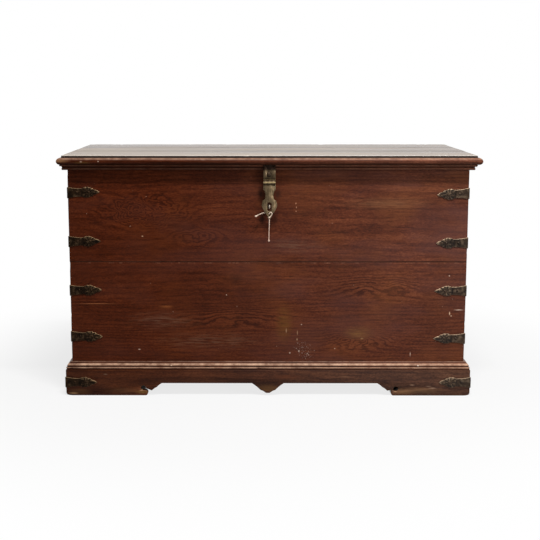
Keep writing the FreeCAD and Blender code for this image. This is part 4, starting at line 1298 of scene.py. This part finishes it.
# Swirls round hidden knots: centre, size and how far they push the rings
box_swirls = (
    ((-0.375, -0.26, 0.575), (0.20, 0.2, 0.080), 0.060),
    ((-0.22, -0.26, 0.50), (0.12, 0.2, 0.045), 0.030),
    ((0.33, -0.26, 0.34), (0.20, 0.2, 0.060), 0.020),
    ((0.28, -0.26, 0.17), (0.14, 0.2, 0.050), 0.036),
    ((-0.10, -0.26, 0.24), (0.24, 0.2, 0.050), 0.018),
)
materials = {
    "box": wood(
        "box_wood", "x", piths["box"], ((45, 15, 4), (66, 25, 8), (86, 38, 16)), worn_brown,
        swirls=box_swirls, rub_and_highlight_share=0.25, mirror=0.06, extra=front_marks,
    ),
    "side": wood(
        "side_wood", "y", piths["side"], ((48, 18, 7), (72, 31, 14), (94, 46, 24)), worn_brown,
        rub_and_highlight_share=0.3, mirror=0.08,
    ),
    "lid": wood(
        "lid_wood", "x", piths["lid"], ((56, 38, 26), (84, 62, 45), (110, 86, 66)), worn_pale,
        polish=0.36, rub_and_highlight_share=0.9, mirror=0.5, extra=lid_dust_and_sheen,
    ),
    "rail_x": wood(
        "moulding_wood_front", "x", piths["rail_x"], ((40, 13, 3), (60, 23, 8), (82, 37, 17)),
        peach_wear_and_highlight, polish=0.36, rub_and_highlight_share=0.66, mirror=0.05, extra=moulding_marks,
    ),
    "rail_y": wood(
        "moulding_wood_side", "y", piths["rail_y"], ((42, 17, 8), (62, 28, 14), (84, 42, 24)),
        peach_wear_and_highlight, polish=0.36, rub_and_highlight_share=0.80, mirror=0.08,
    ),
    "plinth_x": wood(
        "plinth_wood_front", "x", piths["plinth_x"], ((45, 18, 7), (69, 32, 14), (92, 47, 24)),
        worn_tan, mirror=0.08, extra=plinth_marks,
    ),
    "plinth_y": wood(
        "plinth_wood_side", "y", piths["plinth_y"], ((42, 19, 9), (62, 31, 16), (84, 46, 27)),
        worn_tan, mirror=0.08,
    ),
    "inner_x": wood("inner_wood_long", "x", piths["inner_x"], inner_tones, worn_brown, polish=0.6),
    "inner_y": wood("inner_wood_cross", "y", piths["inner_y"], inner_tones, worn_brown, polish=0.6),
    "strap": iron(
        "strap_iron", ((24, 14, 7), (50, 34, 20), (132, 106, 78)), 0.80, 0.50, lumps["strap"], lightening=True,
    ),
    "rivet": iron("rivet_iron", ((26, 18, 10), (54, 40, 25), (112, 90, 60)), 0.4, 0.50, lumps["rivet"]),
    "hasp": iron(
        "hasp_iron", ((84, 70, 50), (120, 101, 76), (184, 160, 122)), 0.55, 0.42, lumps["hasp"],
        brushed=0.34,
    ),
    "hinge": iron(
        "hinge_iron", ((36, 29, 25), (64, 52, 44), (130, 110, 90)), 0.5, 0.55, lumps["hinge"],
    ),
    # The staple's iron is pale, partly bright worn steel and partly painted light for the light it catches.
    "eye": iron(
        "staple_iron", ((140, 128, 114), (190, 178, 164), (226, 216, 202)), 0.3, 0.40, lumps["eye"],
    ),
    "cotton": cotton("cotton_cord"),
}


# Each run of the cord: its route, and its knots with their point on the route, radius, half length
# and direction. A knot without a direction follows the last step of the route.
cord_runs = {
    "loop": (loop_route, {
        "back": (0, back_knot_radius, back_knot_radius, (1, 0.2, 0)),
        "tip": (-1, tip_knot_radius, tip_knot_radius, (0.2, 0, 1)),
    }),
    "tail": (tail_route, {"tail": (-1, end_knot_radius, end_knot_half, None)}),
    "end": (end_route, {"end": (-1, end_knot_radius, end_knot_half, None)}),
}


def dress_cords():
    for run, (route, run_knots) in cord_runs.items():
        cord, line, length = twisted_cord("cotton_" + run, route)
        stand_in(cord, "tie_cord_" + run, "cotton_cord", materials["cotton"])
        knots = []
        for name, (point, radius, half_length, direction) in run_knots.items():
            direction = direction or Vector(route[-1]) - Vector(route[-2])
            piece = knot("cotton_%s_knot" % name, route[point], radius, half_length, direction)
            stand_in(piece, "tie_cord_%s_knot" % name, "cotton_cord", materials["cotton"])
            knots.append(piece)
        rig.cord(
            cord, exit=route[0], length=length, diameter=cord_diameter, far_end="knot",
            stiffness="limp", lay="hanging", path=line, with_pieces=knots,
        )


def dress_planks():
    seed = 11
    for side, kind in (("front", "box"), ("back", "box"), ("left", "side"), ("right", "side")):
        for level in ("upper", "lower"):
            node = "%s_board_%s" % (side, level)
            piece = worn_block(node + "_worn", "box", *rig.box(node), box_plank, seed)
            stand_in(piece, node, "box_wood", materials[kind])
            seed += 1
    seed = 31
    for place in ("front", "middle", "back"):
        node = "lid_board_" + place
        piece = worn_block(node + "_worn", "lid", *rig.box(node), lid_plank, seed)
        stand_in(piece, node, "lid_wood", materials["lid"])
        seed += 1


def dress_mouldings():
    box_low, box_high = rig.box("front_board_upper")
    half, front = box_high[0], box_low[1]
    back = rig.box("back_board_upper")[1][1]
    lid_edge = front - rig.box("lid_board_front")[0][1]
    dust_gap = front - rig.box("dust_moulding_front")[1][1]
    seed = 50
    for prefix, body, shape, inner_edge, nicks in (
        ("lid_nose", "lid", nose_shape, lid_edge, 26),
        ("dust_moulding", "lid", dust_shape, dust_gap, 10),
        ("plinth_cap", "box", cap_shape, 0.0, 18),
    ):
        low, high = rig.box(prefix + "_front")
        placed = placed_shape(shape, inner_edge, front - low[1], low[2], high[2])
        room = ((low[0] + high[0]) / 2, half, front, back)
        for side in ("front", "left", "right"):
            node = "%s_%s" % (prefix, side)
            seed += 1
            piece = swept_moulding(node + "_swept", body, placed, side, room, seed, nicks)
            stand_in(piece, node, "moulding_wood", materials["rail_x" if side == "front" else "rail_y"])


# Edge width, unevenness and the spacing of cuts along the edges
plinth_edges = (0.0013, 0.0006)
plinth_back_edges = (0.0012, 0.0005)
plinth_cut_spacing = 0.010
hasp_uneven = 0.0002
hasp_cut_spacing = 0.003
hasp_edges = {
    "hasp_lid_strap": 0.0005, "hasp_hinge_leaf": 0.0004, "hasp_plate": 0.0005, "staple_eye": 0.0005,
}


def wear_foot_corners(mesh, half, front):
    """Lift and draw in the lowest points near the plinth's two front corners."""
    for vertex in mesh.vertices:
        place = vertex.co
        for side in (-1, 1):
            gap = math.hypot(place.x - side * half, place.y - front)
            if place.z < foot_wear_height and gap < foot_wear_reach:
                share = 1 - gap / foot_wear_reach
                place.z += foot_wear_rise * share
                place.x -= side * foot_wear_inset * share
                place.y += foot_wear_inset * share


def dress_plinth():
    low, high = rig.box("plinth_front")
    seed = 70
    for node, kind in (
        ("plinth_front", "plinth_x"), ("plinth_left", "plinth_y"), ("plinth_right", "plinth_y"),
    ):
        piece = softened(node + "_worn", node, *plinth_edges, seed, plinth_cut_spacing)
        wear_foot_corners(piece.data, high[0], low[1])
        stand_in(piece, node, "plinth_wood", materials[kind])
        seed += 1
    piece = softened("plinth_back_worn", "plinth_back", *plinth_back_edges, 74, plinth_cut_spacing)
    stand_in(piece, "plinth_back", "inner_wood", materials["inner_x"])


def dress_straps():
    low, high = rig.box("front_board_lower")
    half, front = high[0], low[1]
    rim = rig.box("front_board_upper")[1][2]
    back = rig.box("back_board_lower")[1][1]
    cap_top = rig.box("plinth_cap_front")[1][2]
    seed = 100
    for end, deep in (("front", front), ("back", back)):
        for side in ("left", "right"):
            corner = (-half if side == "left" else half, deep)
            straps = []
            for row, lift in zip(strap_row_shares[side], strap_lift_shares[side]):
                seed += 1
                height = cap_top + (rim - cap_top) * row
                straps.append((seed, corner, side, end, height, lift * 2 * strap_half))
            strap_group("%s_%s_corner_straps" % (end, side), straps)
    low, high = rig.box("plinth_front")
    straps = []
    for end, deep in (("front", low[1]), ("back", back)):
        for side in ("left", "right"):
            seed += 1
            corner = (low[0] if side == "left" else high[0], deep)
            straps.append((seed, corner, side, end, high[2] * plinth_strap_share, 0.0))
    strap_group("plinth_corner_straps", straps)


def dress_hasp():
    seed = 80
    for node, width in hasp_edges.items():
        piece = softened(node + "_filed", node, width, hasp_uneven, seed, hasp_cut_spacing)
        stand_in(piece, node, "hasp_iron", materials["eye" if node == "staple_eye" else "hasp"])
        seed += 1


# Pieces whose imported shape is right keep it, with a finish of their own
kept_finishes = {
    "strap": ("corner_strap_nails",),
    "hasp": ("hasp_strap_nails", "hasp_pin"),
    "rivet": ("hasp_rivet",),
    "hinge": (
        "left_hinge_box_leaf", "right_hinge_box_leaf", "left_hinge_lid_leaf", "right_hinge_lid_leaf",
        "hinge_pins", "box_hinge_screws", "lid_screws",
    ),
    "inner_x": (
        "floor_board_1", "floor_board_2", "floor_board_3", "floor_ledge_front", "floor_ledge_back",
    ),
    "inner_y": ("lid_batten_left", "lid_batten_right", "plinth_corner_blocks"),
}


def dress_kept_nodes():
    for kind, nodes in kept_finishes.items():
        for node in nodes:
            cover(frame["nodes"][node], materials[kind])


# Studio
floor_half = 1.6
floor_grey = (0.5, 0.5, 0.5, 1)
floor_fade = (0.70, 1.5)
# Where the floor behind the front feet keeps its shade: edges along each axis
shade_across = (0.382, 0.391, 0.600, 0.625)
shade_deep = (-0.02, -0.01, 0.240, 0.270)
key_place = (0.5, -1.90, 4.25)
key_size = (1.4, 0.30)
key_power = 262
fill_place = (2.6, -2.3, 1.1)
fill_size = (1.6, 1.4)
fill_power = 42
fill_colour = (1.0, 0.98, 0.95)


def floor_material():
    """Pale floor that keeps the chest's shadow and fades into the white background."""
    material = bpy.data.materials.new("studio_floor")
    material.use_nodes = True
    nodes = Nodes(material.node_tree)
    surface = nodes.tree.nodes["Principled BSDF"]
    surface.inputs["Base Color"].default_value = floor_grey
    surface.inputs["Roughness"].default_value = 0.95
    glow = nodes.add("ShaderNodeEmission", {"Strength": 1.0})
    place = nodes.add("ShaderNodeNewGeometry").outputs["Position"]
    lightening = nodes.ramp(nodes.vector("LENGTH", place), *floor_fade, 0.78, 1.0, "SMOOTHSTEP")
    parts = nodes.parts(place)

    def within(axis, edges):
        """1 between the two middle edges along an axis, falling to 0 at the outer ones."""
        side = nodes.math("ABSOLUTE", parts[axis])
        rise = nodes.ramp(side, edges[0], edges[1], kind="SMOOTHSTEP")
        return nodes.times(rise, nodes.ramp(side, edges[3], edges[2], kind="SMOOTHSTEP"))

    behind_feet = nodes.times(within("X", shade_across), within("Y", shade_deep))
    shown = nodes.times(lightening, nodes.minus(1.0, behind_feet))
    seen = nodes.times(shown, nodes.add("ShaderNodeLightPath").outputs["Is Camera Ray"])
    blend = nodes.add("ShaderNodeMixShader", {0: seen, 1: surface.outputs[0], 2: glow.outputs[0]})
    nodes.feed(nodes.tree.nodes["Material Output"].inputs["Surface"], blend.outputs[0])
    return material


def make_floor():
    mesh = bpy.data.meshes.new("floor")
    corners = [(x * floor_half, y * floor_half, 0) for x, y in ((-1, -1), (1, -1), (1, 1), (-1, 1))]
    mesh.from_pydata(corners, [], [(0, 1, 2, 3)])
    mesh.materials.append(floor_material())
    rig.stage(add_object("floor", mesh))


def area_lamp(name, place, turn, size, power, colour=(1, 1, 1)):
    """A lamp that shines straight down, then turned by angles about X, Y and Z."""
    data = bpy.data.lights.new(name, "AREA")
    data.shape = "RECTANGLE"
    data.size, data.size_y = size
    data.energy = power
    data.color = colour
    lamp = add_object(name, data)
    lamp.location = place
    lamp.rotation_euler = tuple(math.radians(angle) for angle in turn)


def make_world():
    """White behind the chest, as the picture shows it, and a dim room in front of it."""
    world = bpy.data.worlds.new("studio")
    bpy.context.scene.world = world
    world.use_nodes = True
    nodes = Nodes(world.node_tree)
    room = nodes.tree.nodes["Background"]
    room.inputs["Color"].default_value = (1, 1, 1, 1)
    rays = nodes.add("ShaderNodeLightPath").outputs
    heading = nodes.add("ShaderNodeTexCoord").outputs["Generated"]
    behind = nodes.ramp(nodes.parts(heading)["Y"], -0.25, 0.30, 0.08, 1.0, "SMOOTHSTEP")
    mirrored = nodes.math("MAXIMUM", rays["Is Glossy Ray"], rays["Is Transmission Ray"])
    soft = nodes.blend(mirrored, 0.30, behind)
    nodes.feed(room.inputs["Strength"], nodes.blend(rays["Is Camera Ray"], soft, 1.0))


def make_studio():
    make_floor()
    make_world()
    area_lamp("key", key_place, (24, 0, 0), key_size, key_power)
    area_lamp("fill", fill_place, (82, 0, 50), fill_size, fill_power, fill_colour)
    bpy.context.scene.view_settings.view_transform = "Standard"


make_camera()
dress_cords()
dress_planks()
dress_mouldings()
dress_plinth()
dress_straps()
dress_hasp()
dress_kept_nodes()
make_studio()

boxes = {"cad": cad_box, "visual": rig.bounds()}
with open("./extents.json", "w") as size_file:
    plain = {name: [[float(value) for value in corner] for corner in box] for name, box in boxes.items()}
    json.dump(plain, size_file)
